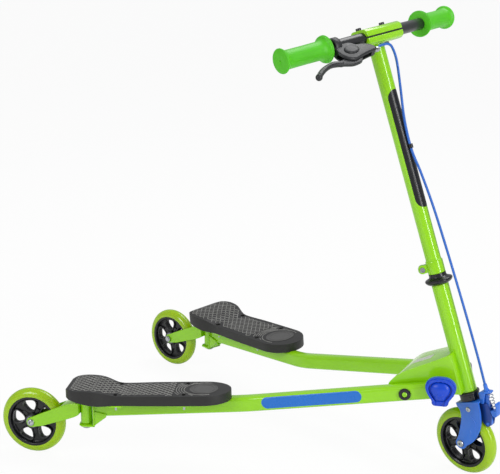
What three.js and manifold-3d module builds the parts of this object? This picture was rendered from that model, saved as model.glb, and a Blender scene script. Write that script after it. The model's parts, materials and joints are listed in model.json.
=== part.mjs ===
// Three wheel kids scooter: two folding arms with footboards and caster wheels, one steered front wheel.
// Units are millimetres. X points forward, Y to the rider's left and Z up. The bench origin lies on the
// floor under the front axle of a scooter steered straight ahead; the finished group is moved so that the
// origin is the bottom centre of its bounding box.
import * as THREE from 'three';
import { mergeVertices } from 'three/addons/utils/BufferGeometryUtils.js';
import Module from 'manifold-3d';

const wasm = await Module();
wasm.setup();

const DEGREE = Math.PI / 180;
const FULL_TURN = 2 * Math.PI;
const weldTolerance = 1e-4;

// Clearances between neighbouring pieces.
const fitGap = 0.15;
const runGap = 0.35;

// Fineness of round shapes.
const fine = { wheel: 24, tube: 16, bolt: 8, wire: 8, hex: 6 };

const wheel = {
  radius: 60, halfWidth: 11.6, crown: 12, rimRadius: 46,
  rimHalf: 11.2, rimInner: 38.6, webHalf: 6.5, bossRadius: 14.2, spokes: 5,
  leafCentre: 25.6, leafLength: 10.6, leafWidth: 8.4, forkCentre: 34, forkLength: 4.4, forkWidth: 5.4,
};
const bearing = { radius: 11, bore: 4.3, width: 7 };
bearing.shoulder = wheel.rimHalf - bearing.width;
const axle = { radius: 3.9, headRadius: 6.4, headHeight: 3.2, nutRadius: 6.6, nutHeight: 4 };

const steering = { lean: 17.71 * DEGREE, lead: 35.2, turn: -18.45 * DEGREE };
const headTube = { radius: 14.6, bore: 12.6, bottom: 100.5, top: 284.5 };
const lowerCup = { radius: 17, bore: 11.6, bottom: 85.6, lipHeight: 3, lipRadius: 18.2 };
const collar = { bottom: 285, neckRadius: 14.8, rimRadius: 23.5, rimAt: 297, rimHeight: 2.4, top: 309.6 };
const steerer = { radius: 11, wall: 2, top: 372 };
const stem = { radius: 13.1, bore: 11.35, sleeveRadius: 14.8, sleeveTop: 333, sleeveBottom: 310, slit: 2.4 };
const pinch = { height: 321, reach: 20, earRadius: 7.4, earHalf: 6.2, boltRadius: 2.5, headRadius: 4.6, turn: 120 * DEGREE };

const fork = {
  plate: 3, innerHalf: 13.2, crownTop: 84.6, noseRadius: 10.6, screwX: 2, screwZ: 72, screwRadius: 4.4,
  // Outline of one blade in the steering frame, forward and along the axis, without its round end.
  outline: [[-15, 84.6], [-15.6, 67], [-19, 54], [-25, 41], [-34, 26], [-42.6, 16.2]],
  front: [[-26, 2.4], [-7, 9], [5, 19], [14.5, 34], [20.5, 48], [24.6, 66], [26, 84.6]],
};
const bar = { radius: 10, forward: 12.5, height: 716.6, straight: 46, bend: 8.5 * DEGREE, half: 213, wall: 2 };
const clamp = {
  half: 44.5, height: 14.4, frontReach: 14.4, backReach: 21.5, chamfer: 6, splitGap: 1.6, boltBack: 14.6,
  boltSide: 30, boltRadius: 2.6, headRadius: 4.6, headHeight: 4.2,
};
const grip = {
  length: 92, bore: 10.15, body: 15.4, outerFlange: 20.2, innerFlange: 22.7, flange: 4.6,
};
const lever = {
  along: 81, away: 21, thickness: 6, half: 3, pin: 3.2, tilt: -45 * DEGREE, ballRadius: 5.6,
  // Outline of the blade: distance along the bar from its middle and distance away from the bar axis.
  outline: [[74, 19], [78, 14.6], [84, 14.6], [88.5, 19], [90, 27], [96, 37], [110, 43], [126, 41], [142, 39.5],
    [160, 44.5], [176, 49], [190, 55.6], [197, 60], [195, 66.4], [186, 64.6], [172, 58.4], [156, 54.6],
    [140, 50.6], [124, 53.4], [106, 56], [92, 52.4], [80, 44.6], [74, 35], [62, 33.4], [60, 27.4], [66, 23.4]],
};
const perch = {
  ringAt: 105.5, ringHalf: 6.5, ringRadius: 14.6, half: 7.6, slotHalf: 3.5, capRadius: 7.2, capHeight: 2.2,
  outline: [[112, 7], [112, 16], [104, 25], [92, 31.5], [76, 36], [60, 38.6], [47.4, 36.4], [43.4, 30], [47, 22.6],
    [58, 15.4], [72, 11.2], [88, 7]],
  slot: [[117, 24], [100, 17], [92, 11.6], [72, 11.6], [56.4, 23], [56.4, 45], [117, 45]],
  adjusterRadius: 3.6, adjusterLength: 9, adjusterAway: 31,
};
const cable = {
  radius: 2.2,
  // Route in the steering frame, from the lever to the stop above the front wheel.
  route: [[27.5, -31.5, 693.5], [25, -22, 698.6], [23, -10, 699.2], [22.4, 3, 698.2], [22.6, 11, 691], [22.6, 13.4, 668],
    [20.6, 7.6, 625], [17.6, 1.2, 580], [16.2, -0.8, 545], [16.6, -0.4, 515], [21, 1.6, 480], [26.2, 3.4, 420],
    [30.4, 3.6, 340], [34.6, 2.6, 240], [37.2, 1, 160], [37.6, 0, 122], [37.6, 0, 101.5]],
  clipAt: 528, clipHeight: 8, clipWall: 1.6,
};
const brake = {
  stopX: 37.6, flangeZ: 96, plate: 3, half: 9, cheek: 2.4, pivotX: 27.6, pivotZ: 42.4, pinRadius: 2.6,
  flangeFront: 48.5, wallX: 29.2, wallBottom: 75, padFrom: 36 * DEGREE, padTo: 51 * DEGREE, padGap: 1.6, padDepth: 5,
  padHalf: 5, armHalf: 5.8, hookX: 48, hookZ: 66, hookRadius: 5, springFoot: 66.5, springX: 43.4, springRadius: 3.9,
  springWire: 0.75, springTurns: 5, bootRadius: 3.6, bootHeight: 12,
};

const arm = {
  bend: [-356.2, -119.3, 109.05], frontSplay: 11.9 * DEGREE, frontPitch: 10.1 * DEGREE, rearPitch: 3.5 * DEGREE,
  halfWidth: 11, halfHeight: 13.6, chamfer: 5.4, wall: 2, frontEnd: -11.5, bendRadius: 95, bendSteps: 4,
};
const fold = { x: -85.5, capRadius: 9.4, capHeight: 4, boltRadius: 4, boss: 8 };
const stud = { x: -26.8, z: 176.6, radius: 3.9, slotHalf: 5, slotFlare: 3.4 };
const plug = { flange: 2.4, depth: 5 };
const knob = {
  outline: [[0, 24.6], [10.5, 22.4], [19, 17], [25, 10], [26.6, 3], [24.6, -6], [20, -14], [15.4, -20], [12, -27.6], [6, -29]],
  base: 12.2, rim: 22, shoulder: 27, top: 31, shoulderShare: 0.86, topShare: 0.56, bore: 4.3, boreDepth: 24,
};
const gusset = {
  sheet: 2.5, sideGap: 0.7,
  // Roof line, forward and up, from the rear lip to the head tube.
  roof: [[-118.5, 166], [-114, 172.5], [-97, 189], [-76, 203.5], [-33, 229], [-12, 231]],
  bottomRear: 147, bottomFront: 160, tubeX: -1.5,
};

const caster = {
  pivot: [-617.9, -228.1], trail: 100.4, swing: 12.1 * DEGREE, tubeRadius: 10.2, tubeBore: 6.4, tubeBottom: 66,
  tubeTop: 105, plate: 2.5, innerHalf: 12.8, noseRadius: 9, wallX: 9.6, webEnd: 43,
  roof: [[11, 104.4], [22, 104.4], [43, 95.6], [60, 87.6], [80, 78.4]],
  floor: [[84, 53.4], [60, 62.6], [30, 73.6], [16, 79.6], [9.6, 84]],
};
const bracket = { half: 15.6, back: 13.4, backPlate: 3, plate: 3, rear: 12, bottomTop: 65.3, topBottom: 105.7, corner: 6 };
const kingPin = { radius: 6, headRadius: 9.6, headHeight: 4.4, nutHeight: 5, nutRadius: 9 };

const deck = {
  origin: [-450.8, -162.8], outward: 3.5, height: 135.4, slope: 2 * DEGREE, roll: 4.2 * DEGREE,
  skirt: 17, skin: 4, wall: 3.6, edge: 4.2, armGap: 0.8, toe: 48, toeFrom: -30, toeHalf: 44,
  // Along the deck, half width, rise of the top and rise of the skirt's lower edge.
  stations: [[-30, 44, 0, 0], [60, 43, 0, 0], [112, 40.6, 0, 0], [126, 41, 1.7, 0], [138, 44, 6, 0.2],
    [151, 48.8, 9.6, 1.4], [164, 51.6, 11.2, 4], [180, 52, 12.2, 8], [193, 48.2, 12.6, 11.2], [201, 41.4, 12.4, 12.6],
    [206.6, 31, 11, 13.6]],
  screws: [[1.5, 32.5], [1.5, -32.5], [120, 32.5], [120, -32.5]],
  slotLength: 10, slotWidth: 6.4, slotDepth: 9, bossRadius: 6.6, ribs: [-36, 60, 152], ribHalf: 1.2,
};
const strap = { half: 40, width: 11, sheet: 3, top: -17.2, riserHalf: 9 };
const screw = { headRadius: 2.9, headHeight: 2.4, radius: 2.1, tip: -26.5 };

// Solid of a closed geometry: equal corners welded, empty triangles dropped and the faces turned outward.
function solid(geometry) {
  const plain = geometry.clone();
  plain.deleteAttribute('normal');
  plain.deleteAttribute('uv');
  const merged = mergeVertices(plain, weldTolerance);
  const { position } = merged.attributes;
  const corner = (k) => new THREE.Vector3().fromBufferAttribute(position, k);
  const faces = [];
  let volume = 0;
  for (let i = 0; i < merged.index.count; i += 3) {
    const face = [0, 1, 2].map((k) => merged.index.getX(i + k));
    if (new Set(face).size < face.length) continue;
    const [first, second, third] = face.map(corner);
    volume += first.dot(second.cross(third));
    faces.push(face);
  }
  const outward = volume < 0 ? faces.map((face) => face.reverse()) : faces;
  return new wasm.Manifold(new wasm.Mesh({
    numProp: 3, vertProperties: new Float32Array(position.array), triVerts: new Uint32Array(outward.flat()),
  }));
}

function shell(manifold) {
  const mesh = manifold.getMesh();
  const geometry = new THREE.BufferGeometry();
  geometry.setAttribute('position', new THREE.BufferAttribute(new Float32Array(mesh.vertProperties), 3));
  geometry.setIndex(new THREE.BufferAttribute(new Uint32Array(mesh.triVerts), 1));
  return geometry;
}

const combined = (act) => (first, ...others) => shell(others.reduce((whole, other) => act(whole, solid(other)), solid(first)));
const fuse = combined((whole, other) => whole.add(other));
const cut = combined((whole, other) => whole.subtract(other));
const common = combined((whole, other) => whole.intersect(other));

const moved = (geometry, frame) => geometry.clone().applyMatrix4(frame);
const shifted = (geometry, x, y, z) => geometry.clone().translate(x, y, z);
const spun = (geometry, angle) => geometry.clone().rotateZ(angle);
const mirrored = (geometry, frame) => moved(geometry, frame.clone().scale(new THREE.Vector3(1, 1, -1)));

// Round body about Z from a closed outline of [radius, height] pairs.
function turned(outline, segments = fine.tube) {
  const points = [...outline, outline[0]].map(([radius, height]) => new THREE.Vector2(radius, height));
  return new THREE.LatheGeometry(points, segments).rotateX(Math.PI / 2);
}

function rod(radius, from, to, segments = fine.tube) {
  return turned([[0, from], [radius, from], [radius, to], [0, to]], segments);
}

// Straight body from a flat outline of [x, y] pairs, raised from one height to another.
function raised(outline, from, to) {
  const shape = new THREE.Shape(outline.map(([x, y]) => new THREE.Vector2(x, y)));
  const geometry = new THREE.ExtrudeGeometry(shape, { depth: to - from, bevelEnabled: false });
  return geometry.translate(0, 0, from);
}

function block(x, y, z) {
  return raised([[x[0], y[0]], [x[1], y[0]], [x[1], y[1]], [x[0], y[1]]], z[0], z[1]);
}

// Frame with Z' lying along -Y, so that a flat [x, z] outline can be raised sideways.
const sideways = new THREE.Matrix4().makeRotationX(Math.PI / 2);

function sideSlab(outline, from, to) {
  return moved(raised(outline, -to, -from), sideways);
}

// Body skinned over equal rings of points and closed by a fan at both ends.
function lofted(rings) {
  const triangles = [];
  const centre = (ring) => ring.reduce((sum, p) => sum.add(p), new THREE.Vector3()).divideScalar(ring.length);
  const count = rings[0].length;
  for (let r = 0; r + 1 < rings.length; r += 1) {
    for (let i = 0; i < count; i += 1) {
      const j = (i + 1) % count;
      triangles.push(rings[r][i], rings[r][j], rings[r + 1][j], rings[r][i], rings[r + 1][j], rings[r + 1][i]);
    }
  }
  const last = rings[rings.length - 1];
  for (let i = 0; i < count; i += 1) {
    const j = (i + 1) % count;
    triangles.push(centre(rings[0]), rings[0][j], rings[0][i], centre(last), last[i], last[j]);
  }
  return new THREE.BufferGeometry().setFromPoints(triangles);
}

function swept(curve, steps, section) {
  const frames = curve.computeFrenetFrames(steps, false);
  const rings = [];
  for (let i = 0; i <= steps; i += 1) {
    const middle = curve.getPointAt(i / steps);
    rings.push(section.map(([x, y]) => middle.clone()
      .addScaledVector(frames.normals[i], x).addScaledVector(frames.binormals[i], y)));
  }
  return lofted(rings);
}

function circle(radius, count, x = 0, y = 0) {
  return Array.from({ length: count }, (_, i) => {
    const angle = (i / count) * FULL_TURN;
    return [x + radius * Math.cos(angle), y + radius * Math.sin(angle)];
  });
}

function chamfered(halfX, halfY, edge) {
  return [[halfX, -halfY + edge], [halfX, halfY - edge], [halfX - edge, halfY], [-halfX + edge, halfY],
    [-halfX, halfY - edge], [-halfX, -halfY + edge], [-halfX + edge, -halfY], [halfX - edge, -halfY]];
}

function frameOf(x, y, z, origin) {
  return new THREE.Matrix4().makeBasis(x, y, z).setPosition(...origin);
}

const vector = (x, y, z) => new THREE.Vector3(x, y, z);

// Steering frame: Z' runs up the steering axis, X' forward, turned as the front wheel stands.
const leanFrame = new THREE.Matrix4().makeRotationY(-steering.lean);
const turnFrame = new THREE.Matrix4().makeRotationZ(steering.turn);
const steeringTurn = leanFrame.clone().multiply(turnFrame);
const frontAxle = [-steering.lead * Math.cos(steering.lean), 0, steering.lead * Math.sin(steering.lean)];

// Height of the axis point at which the turned front wheel just stands on the floor.
function axisHeight() {
  const axis = vector(0, 1, 0).applyMatrix4(steeringTurn);
  const centre = vector(...frontAxle).applyMatrix4(steeringTurn);
  const drop = wheel.crown + (wheel.radius - wheel.crown) * Math.sqrt(1 - axis.z * axis.z);
  return drop - centre.z;
}
const axisPoint = [steering.lead, 0, axisHeight()];
const headFrame = leanFrame.clone().setPosition(...axisPoint);
const steeringFrame = steeringTurn.clone().setPosition(...axisPoint);

// Arm, hinge, caster and deck frames of the right side; the left side mirrors them.
const armBend = vector(...arm.bend);
const frontPlan = vector(Math.cos(arm.frontSplay), Math.sin(arm.frontSplay), 0);
const frontWay = frontPlan.clone().multiplyScalar(Math.cos(arm.frontPitch)).setZ(Math.sin(arm.frontPitch));
const rearSplay = Math.atan2(arm.bend[1] - caster.pivot[1], arm.bend[0] - caster.pivot[0]);
const rearPlan = vector(-Math.cos(rearSplay), -Math.sin(rearSplay), 0);
const rearWay = rearPlan.clone().multiplyScalar(Math.cos(arm.rearPitch)).setZ(-Math.sin(arm.rearPitch));
const alongArm = (x) => armBend.clone().addScaledVector(frontWay, (x - arm.bend[0]) / frontWay.x);
const up = vector(0, 0, 1);
const outwardOf = (plan) => plan.clone().cross(up);

// Hinge frame: X' forward along the arm in plan, Y' up and Z' outward along the fold bolt.
const foldPoint = alongArm(fold.x);
const hingeFrame = frameOf(frontPlan, up, outwardOf(frontPlan), foldPoint.toArray());
const studForward = (stud.x - fold.x) / frontPlan.x;
const studUp = stud.z - foldPoint.z;
const studFrame = hingeFrame.clone().multiply(new THREE.Matrix4().makeTranslation(studForward, studUp, 0));

const casterFrame = new THREE.Matrix4().makeRotationZ(Math.PI + caster.swing)
  .setPosition(caster.pivot[0], caster.pivot[1], 0);
const bracketFrame = frameOf(rearPlan, outwardOf(rearPlan).negate(), up, [...caster.pivot, 0]);
const wheelFrame = new THREE.Matrix4().makeRotationX(Math.PI / 2).setPosition(caster.trail, 0, wheel.radius);
const rearWheelFrame = casterFrame.clone().multiply(wheelFrame);
const frontWheelFrame = steeringFrame.clone()
  .multiply(new THREE.Matrix4().makeRotationX(Math.PI / 2).setPosition(...frontAxle));

function deckFrame() {
  const along = rearPlan.clone().multiplyScalar(Math.cos(deck.slope)).setZ(-Math.sin(deck.slope));
  const outward = outwardOf(rearPlan).negate();
  const flat = frameOf(along, outward, along.clone().cross(outward), [0, 0, 0]);
  const origin = vector(...deck.origin, deck.height).addScaledVector(outward, deck.outward);
  return flat.multiply(new THREE.Matrix4().makeRotationX(deck.roll)).setPosition(origin);
}

// Wheel parts, turned about Z with the wheel's middle plane at zero.
function tyre() {
  const outline = [];
  const steps = 6;
  const start = Math.acos((wheel.rimRadius + 2 - (wheel.radius - wheel.crown)) / wheel.crown);
  outline.push([wheel.rimRadius + fitGap, -wheel.rimHalf]);
  for (let i = 0; i <= steps; i += 1) {
    const angle = -start + (2 * start * i) / steps;
    const side = Math.sin(angle) * wheel.halfWidth;
    outline.push([wheel.radius - wheel.crown + wheel.crown * Math.cos(angle), side]);
  }
  outline.push([wheel.rimRadius + fitGap, wheel.rimHalf]);
  return turned(outline, fine.wheel);
}

function leaf(centre, length, width) {
  const tip = centre + length;
  const root = centre - length;
  return [[root, 0], [centre, -width], [tip - 0.25 * length, -0.72 * width], [tip, 0], [tip - 0.25 * length, 0.72 * width],
    [centre, width]];
}

function hub() {
  const { rimHalf, webHalf, rimRadius, rimInner, bossRadius } = wheel;
  const seat = bearing.radius + fitGap;
  const lip = bearing.radius - 2;
  const blank = turned([
    [seat, -rimHalf], [bossRadius, -rimHalf], [bossRadius, -webHalf], [rimInner, -webHalf], [rimInner, -rimHalf],
    [rimRadius, -rimHalf], [rimRadius, rimHalf], [rimInner, rimHalf], [rimInner, webHalf], [bossRadius, webHalf],
    [bossRadius, rimHalf], [seat, rimHalf], [seat, bearing.shoulder - fitGap], [lip, bearing.shoulder - fitGap],
    [lip, -bearing.shoulder + fitGap], [seat, -bearing.shoulder + fitGap]], fine.wheel);
  const openings = [];
  for (let i = 0; i < wheel.spokes; i += 1) {
    const turn = (i / wheel.spokes) * FULL_TURN;
    const large = raised(leaf(wheel.leafCentre, wheel.leafLength, wheel.leafWidth), -rimHalf, rimHalf);
    const small = raised(leaf(wheel.forkCentre, wheel.forkLength, wheel.forkWidth), -rimHalf, rimHalf);
    openings.push(spun(large, turn), spun(small, turn + Math.PI / wheel.spokes));
  }
  return cut(blank, ...openings);
}

function bearingBody(side) {
  const inner = side * bearing.shoulder;
  const outer = side * wheel.rimHalf;
  return turned([[bearing.bore, inner], [bearing.radius, inner], [bearing.radius, outer], [bearing.bore, outer]], 12);
}

// Axle bolt with its head on the outer side of the right plate and its nut on the other side.
function axleBolt(plateOuter) {
  const head = plateOuter + fitGap;
  const shank = rod(axle.radius, -head - axle.nutHeight - 1.5, head, fine.bolt);
  const cap = turned([[0, head], [axle.headRadius, head], [axle.headRadius - 0.4, head + axle.headHeight - 1.2],
    [axle.headRadius - 1.8, head + axle.headHeight], [2.2, head + axle.headHeight], [2.2, head + 1], [0, head + 1]], fine.bolt);
  const nut = raised(circle(axle.nutRadius, fine.hex), -head - axle.nutHeight, -head);
  return fuse(shank, cap, nut);
}

// Head tube with the folded sheet channel welded to its back.
function mainFrame() {
  const tubeRing = moved(rod(headTube.radius, headTube.bottom, headTube.top), headFrame);
  const bore = moved(rod(headTube.bore, headTube.bottom - 30, headTube.top + 30), headFrame);
  const plateOut = -(arm.halfWidth + gusset.sideGap);
  const planCorner = (x, offset) => {
    const point = alongArm(x).addScaledVector(outwardOf(frontPlan), offset);
    return [point.x, point.y];
  };
  const plan = (offset, rear, front) => {
    const right = [planCorner(rear, offset), planCorner(front, offset)];
    const nose = headTube.radius + (offset - plateOut);
    return [...right, [gusset.tubeX, -nose], [gusset.tubeX, nose],
      ...right.reverse().map(([x, y]) => [x, -y])];
  };
  const roof = gusset.roof;
  const low = [[gusset.tubeX + 30, gusset.bottomFront], [roof[0][0], gusset.bottomRear]];
  const high = [gusset.tubeX + 30, roof[roof.length - 1][1]];
  const outerSide = sideSlab([...roof, high, ...low], -90, 90);
  const drop = gusset.sheet;
  const inside = [[roof[0][0] - 20, roof[0][1] - drop], ...roof.slice(1).map(([x, z]) => [x + 0.7 * drop, z - 0.9 * drop]),
    [high[0], high[1] - drop], [high[0], 100], [roof[0][0] - 20, 100]];
  const innerSide = sideSlab(inside, -90, 90);
  const rear = roof[0][0] - 6;
  const front = stud.x + 12;
  const outer = common(raised(plan(plateOut, rear, front), 120, 260), outerSide);
  const inner = common(raised(plan(plateOut - gusset.sheet, rear - 20, front - 1), 110, 270), innerSide);
  const hole = rod(fold.boltRadius + runGap, -60, 60, fine.bolt);
  const right = [moved(hole, hingeFrame), moved(shifted(hole, studForward, studUp, 0), hingeFrame)];
  const left = right.map((pin) => pin.clone().scale(1, -1, 1));
  return cut(fuse(tubeRing, cut(outer, inner)), bore, ...right, ...left);
}

function lowerCupBody() {
  const { radius, bore, bottom, lipHeight, lipRadius } = lowerCup;
  const top = headTube.bottom - fitGap;
  return turned([[bore, bottom], [radius, bottom], [radius, top - lipHeight - 1], [lipRadius, top - lipHeight],
    [lipRadius, top - 0.8], [radius, top], [bore, top]]);
}

function collarBody() {
  const bore = steerer.radius + fitGap;
  const { bottom, neckRadius, rimRadius, rimAt, rimHeight, top } = collar;
  return turned([[bore, bottom], [neckRadius + 1.6, bottom], [neckRadius + 5.4, bottom + 4], [rimRadius - 0.8, rimAt - 2],
    [rimRadius, rimAt], [rimRadius - 1.4, rimAt + rimHeight], [neckRadius + 1.8, rimAt + rimHeight + 2.2],
    [neckRadius, rimAt + rimHeight + 4], [neckRadius, top], [bore, top]]);
}

function steererTube() {
  const inner = steerer.radius - steerer.wall;
  const bottom = fork.crownTop + fitGap;
  return turned([[inner, bottom], [steerer.radius, bottom], [steerer.radius, steerer.top], [inner, steerer.top]]);
}

// Two blades folded down from a crown plate, in the steering frame.
function forkBody() {
  const [axleX, , axleZ] = frontAxle;
  const outerHalf = fork.innerHalf + fork.plate;
  const nose = circle(fork.noseRadius, 12, axleX, axleZ);
  const blade = fuse(sideSlab([...fork.outline, ...fork.front], -outerHalf, outerHalf), sideSlab(nose, -outerHalf, outerHalf));
  const hollowTop = fork.crownTop - fork.plate;
  const hollow = block([-80, 60], [-fork.innerHalf, fork.innerHalf], [-20, hollowTop]);
  const hole = sideSlab(circle(axle.radius + runGap, fine.bolt, axleX, axleZ), -30, 30);
  const rivet = sideSlab(circle(fork.screwRadius, fine.bolt, fork.screwX, fork.screwZ), -outerHalf - 1.6, outerHalf + 1.6);
  return cut(fuse(blade, rivet), hollow, hole);
}

function stemBody() {
  const { radius, bore, sleeveRadius, sleeveTop, sleeveBottom, slit } = stem;
  const top = bar.height - clamp.height + 3;
  const tube = rod(radius, sleeveBottom, top);
  const sleeve = turned([[0, sleeveBottom], [sleeveRadius, sleeveBottom], [sleeveRadius, sleeveTop - 1.4],
    [radius, sleeveTop], [0, sleeveTop]]);
  const ear = raised(circle(pinch.earRadius, fine.tube, pinch.reach, 0), -pinch.earHalf, pinch.earHalf);
  const lug = fuse(ear, block([0, pinch.reach], [-pinch.earRadius + 0.6, pinch.earRadius - 0.6], [-pinch.earHalf, pinch.earHalf]));
  const standing = moved(lug, sideways);
  const slot = block([0, pinch.reach + 12], [-slit / 2, slit / 2], [sleeveBottom - 5, sleeveTop + 6]);
  const boltHole = moved(raised(circle(pinch.boltRadius + fitGap, fine.bolt, pinch.reach, 0), -20, 20), sideways);
  const inner = rod(bore, sleeveBottom - 5, top + 5);
  const whole = cut(fuse(tube, sleeve, shifted(standing, 0, 0, pinch.height)), slot, inner, shifted(boltHole, 0, 0, pinch.height));
  return spun(whole, pinch.turn);
}

function pinchBolt() {
  const head = pinch.earHalf + fitGap;
  const shank = rod(pinch.boltRadius, -head - 4.6, head, fine.bolt);
  const cap = turned([[0, head], [pinch.headRadius, head], [pinch.headRadius, head + 3], [1.8, head + 3], [1.8, head + 1.2],
    [0, head + 1.2]], fine.bolt);
  const nut = raised(circle(pinch.headRadius + 0.4, fine.hex), -head - 3.6, -head);
  const whole = shifted(moved(fuse(shank, cap, nut), sideways), pinch.reach, 0, pinch.height);
  return spun(whole, pinch.turn);
}

// Half of the handlebar clamp, above or below the bar's middle plane.
function clampHalf(side) {
  const { height, frontReach, backReach, chamfer, splitGap, half } = clamp;
  const x = bar.forward;
  const outline = [[x + frontReach, 0], [x + frontReach, height - chamfer], [x + frontReach - chamfer, height],
    [x - backReach + chamfer, height], [x - backReach, height - chamfer], [x - backReach, 0]];
  const turnedOutline = outline.map(([u, w]) => [u, bar.height + side * Math.max(w, splitGap / 2)]);
  const barHole = sideSlab(circle(bar.radius + fitGap, fine.tube, x, bar.height), -half - 5, half + 5);
  const bolt = rod(clamp.boltRadius + fitGap, bar.height - 40, bar.height + 40, fine.bolt);
  const holes = [-1, 1].map((s) => shifted(bolt, x - clamp.boltBack, s * clamp.boltSide, 0));
  return cut(sideSlab(turnedOutline, -half, half), barHole, ...holes);
}

function clampLower() {
  const stemTop = rod(stem.radius + runGap, bar.height - 60, bar.height - clamp.height + 3.05);
  return cut(clampHalf(-1), stemTop);
}

function clampBolt(side) {
  const top = bar.height + clamp.height + fitGap;
  const bottom = bar.height - clamp.height - fitGap;
  const { boltRadius, headRadius, headHeight } = clamp;
  const shank = rod(boltRadius, bottom - 5, top, fine.bolt);
  const head = turned([[0, top], [headRadius, top], [headRadius, top + headHeight - 1], [headRadius - 1, top + headHeight],
    [1.7, top + headHeight], [1.7, top + 1.4], [0, top + 1.4]], fine.bolt);
  const nut = raised(circle(headRadius + 0.2, fine.hex), bottom - 3.8, bottom);
  return shifted(fuse(shank, head, nut), bar.forward - clamp.boltBack, side * clamp.boltSide, 0);
}

// Point and heading of the bent handlebar at a distance from its middle, to the rider's right when negative.
function barPoint(along) {
  const side = Math.sign(along);
  const beyond = Math.max(Math.abs(along) - bar.straight, 0);
  const within = Math.min(Math.abs(along), bar.straight);
  return vector(bar.forward - beyond * Math.sin(bar.bend), side * (within + beyond * Math.cos(bar.bend)), bar.height);
}

function barBody() {
  const filled = (radius, half) => lofted([-half, -bar.straight, bar.straight, half].map((along) => {
    const heading = Math.abs(along) > bar.straight ? bar.bend : bar.bend / 2;
    const turn = -Math.sign(along) * heading;
    const across = vector(Math.cos(turn), -Math.sin(turn), 0);
    return circle(radius, fine.tube).map(([x, y]) => barPoint(along).addScaledVector(across, x).addScaledVector(up, y));
  }));
  return cut(filled(bar.radius, bar.half - runGap), filled(bar.radius - bar.wall, bar.half + bar.radius));
}

// Frame on the swept half of the bar: X' outboard along the bar, Y' forward and down, tilted by an angle.
function barFrame(side, along, tilt) {
  const outboard = vector(-Math.sin(bar.bend), side * Math.cos(bar.bend), 0);
  const ahead = vector(Math.cos(bar.bend), side * Math.sin(bar.bend), 0);
  const away = ahead.clone().multiplyScalar(Math.cos(tilt)).addScaledVector(up, Math.sin(tilt));
  const origin = barPoint(side * along);
  return frameOf(outboard, away, outboard.clone().cross(away), origin.toArray());
}

function gripBody() {
  const { length, bore, body: radius, outerFlange, innerFlange, flange } = grip;
  const outline = [[bore, 0], [innerFlange - 2, 0], [innerFlange, 1.6], [innerFlange, flange - 1], [innerFlange - 1.6, flange],
    [radius + 2, flange + 3], [radius, flange + 8]];
  outline.push([radius, length - flange - 5], [outerFlange - 2, length - flange], [outerFlange, length - flange + 1.4],
    [outerFlange, length - 1.6], [outerFlange - 2.4, length], [0, length], [0, length - 2], [bore, length - 2]);
  return turned(outline);
}

const alongBar = new THREE.Matrix4().makeRotationY(Math.PI / 2);

function gripFrame(side) {
  return barFrame(side, bar.half + 2 - grip.length, 0).multiply(alongBar);
}

// Lever parts are drawn in the bar frame of the right hand, where X' is counted from the bar's middle.
const leverFrame = barFrame(-1, 0, lever.tilt).setPosition(
  barPoint(-lever.along).sub(vector(-Math.sin(bar.bend), -Math.cos(bar.bend), 0).multiplyScalar(lever.along)));

function perchBody() {
  const shellBody = raised(perch.outline, -perch.half, perch.half);
  const slot = raised(perch.slot, -perch.slotHalf, perch.slotHalf);
  const ring = moved(rod(perch.ringRadius, perch.ringAt - perch.ringHalf, perch.ringAt + perch.ringHalf), alongBar);
  const barHole = moved(rod(bar.radius + fitGap, 0, 160), alongBar);
  const pinHole = shifted(rod(lever.pin, -30, 30, fine.bolt), lever.along, lever.away, 0);
  const pin = shifted(rod(lever.pin + 0.02, -perch.half, perch.half, fine.bolt), lever.along, lever.away, 0);
  const cap = turned([[0, 0], [perch.capRadius, 0], [perch.capRadius - 1.2, perch.capHeight], [0, perch.capHeight]], fine.bolt);
  const caps = [shifted(cap, lever.along, lever.away, perch.half - 0.01),
    shifted(mirrored(cap, new THREE.Matrix4()), lever.along, lever.away, -perch.half + 0.01)];
  const barrel = moved(turned([[cable.radius + runGap, 0], [perch.adjusterRadius, 0], [perch.adjusterRadius, 3],
    [perch.adjusterRadius + 1, 3.6], [perch.adjusterRadius + 1, 7], [perch.adjusterRadius, 7.6],
    [perch.adjusterRadius, perch.adjusterLength + 3], [cable.radius + runGap, perch.adjusterLength + 3]], fine.bolt), alongBar);
  const start = perch.outline[7][0] - perch.adjusterLength;
  return fuse(cut(fuse(shellBody, ring), slot, barHole, pinHole), pin, ...caps, shifted(barrel, start, perch.adjusterAway, 0));
}

function leverBody() {
  const blade = raised(lever.outline, -lever.half, lever.half);
  const ballAt = [195.6, 63.4];
  const ball = shifted(new THREE.SphereGeometry(lever.ballRadius, 10, 6), ...ballAt, 0);
  const hole = shifted(rod(lever.pin + runGap, -10, 10, fine.bolt), lever.along, lever.away, 0);
  return cut(fuse(blade, ball), hole);
}

function cableBody() {
  const curve = new THREE.CatmullRomCurve3(cable.route.map((p) => vector(...p)), false, 'centripetal');
  return swept(curve, 36, circle(cable.radius, fine.wire));
}

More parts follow.
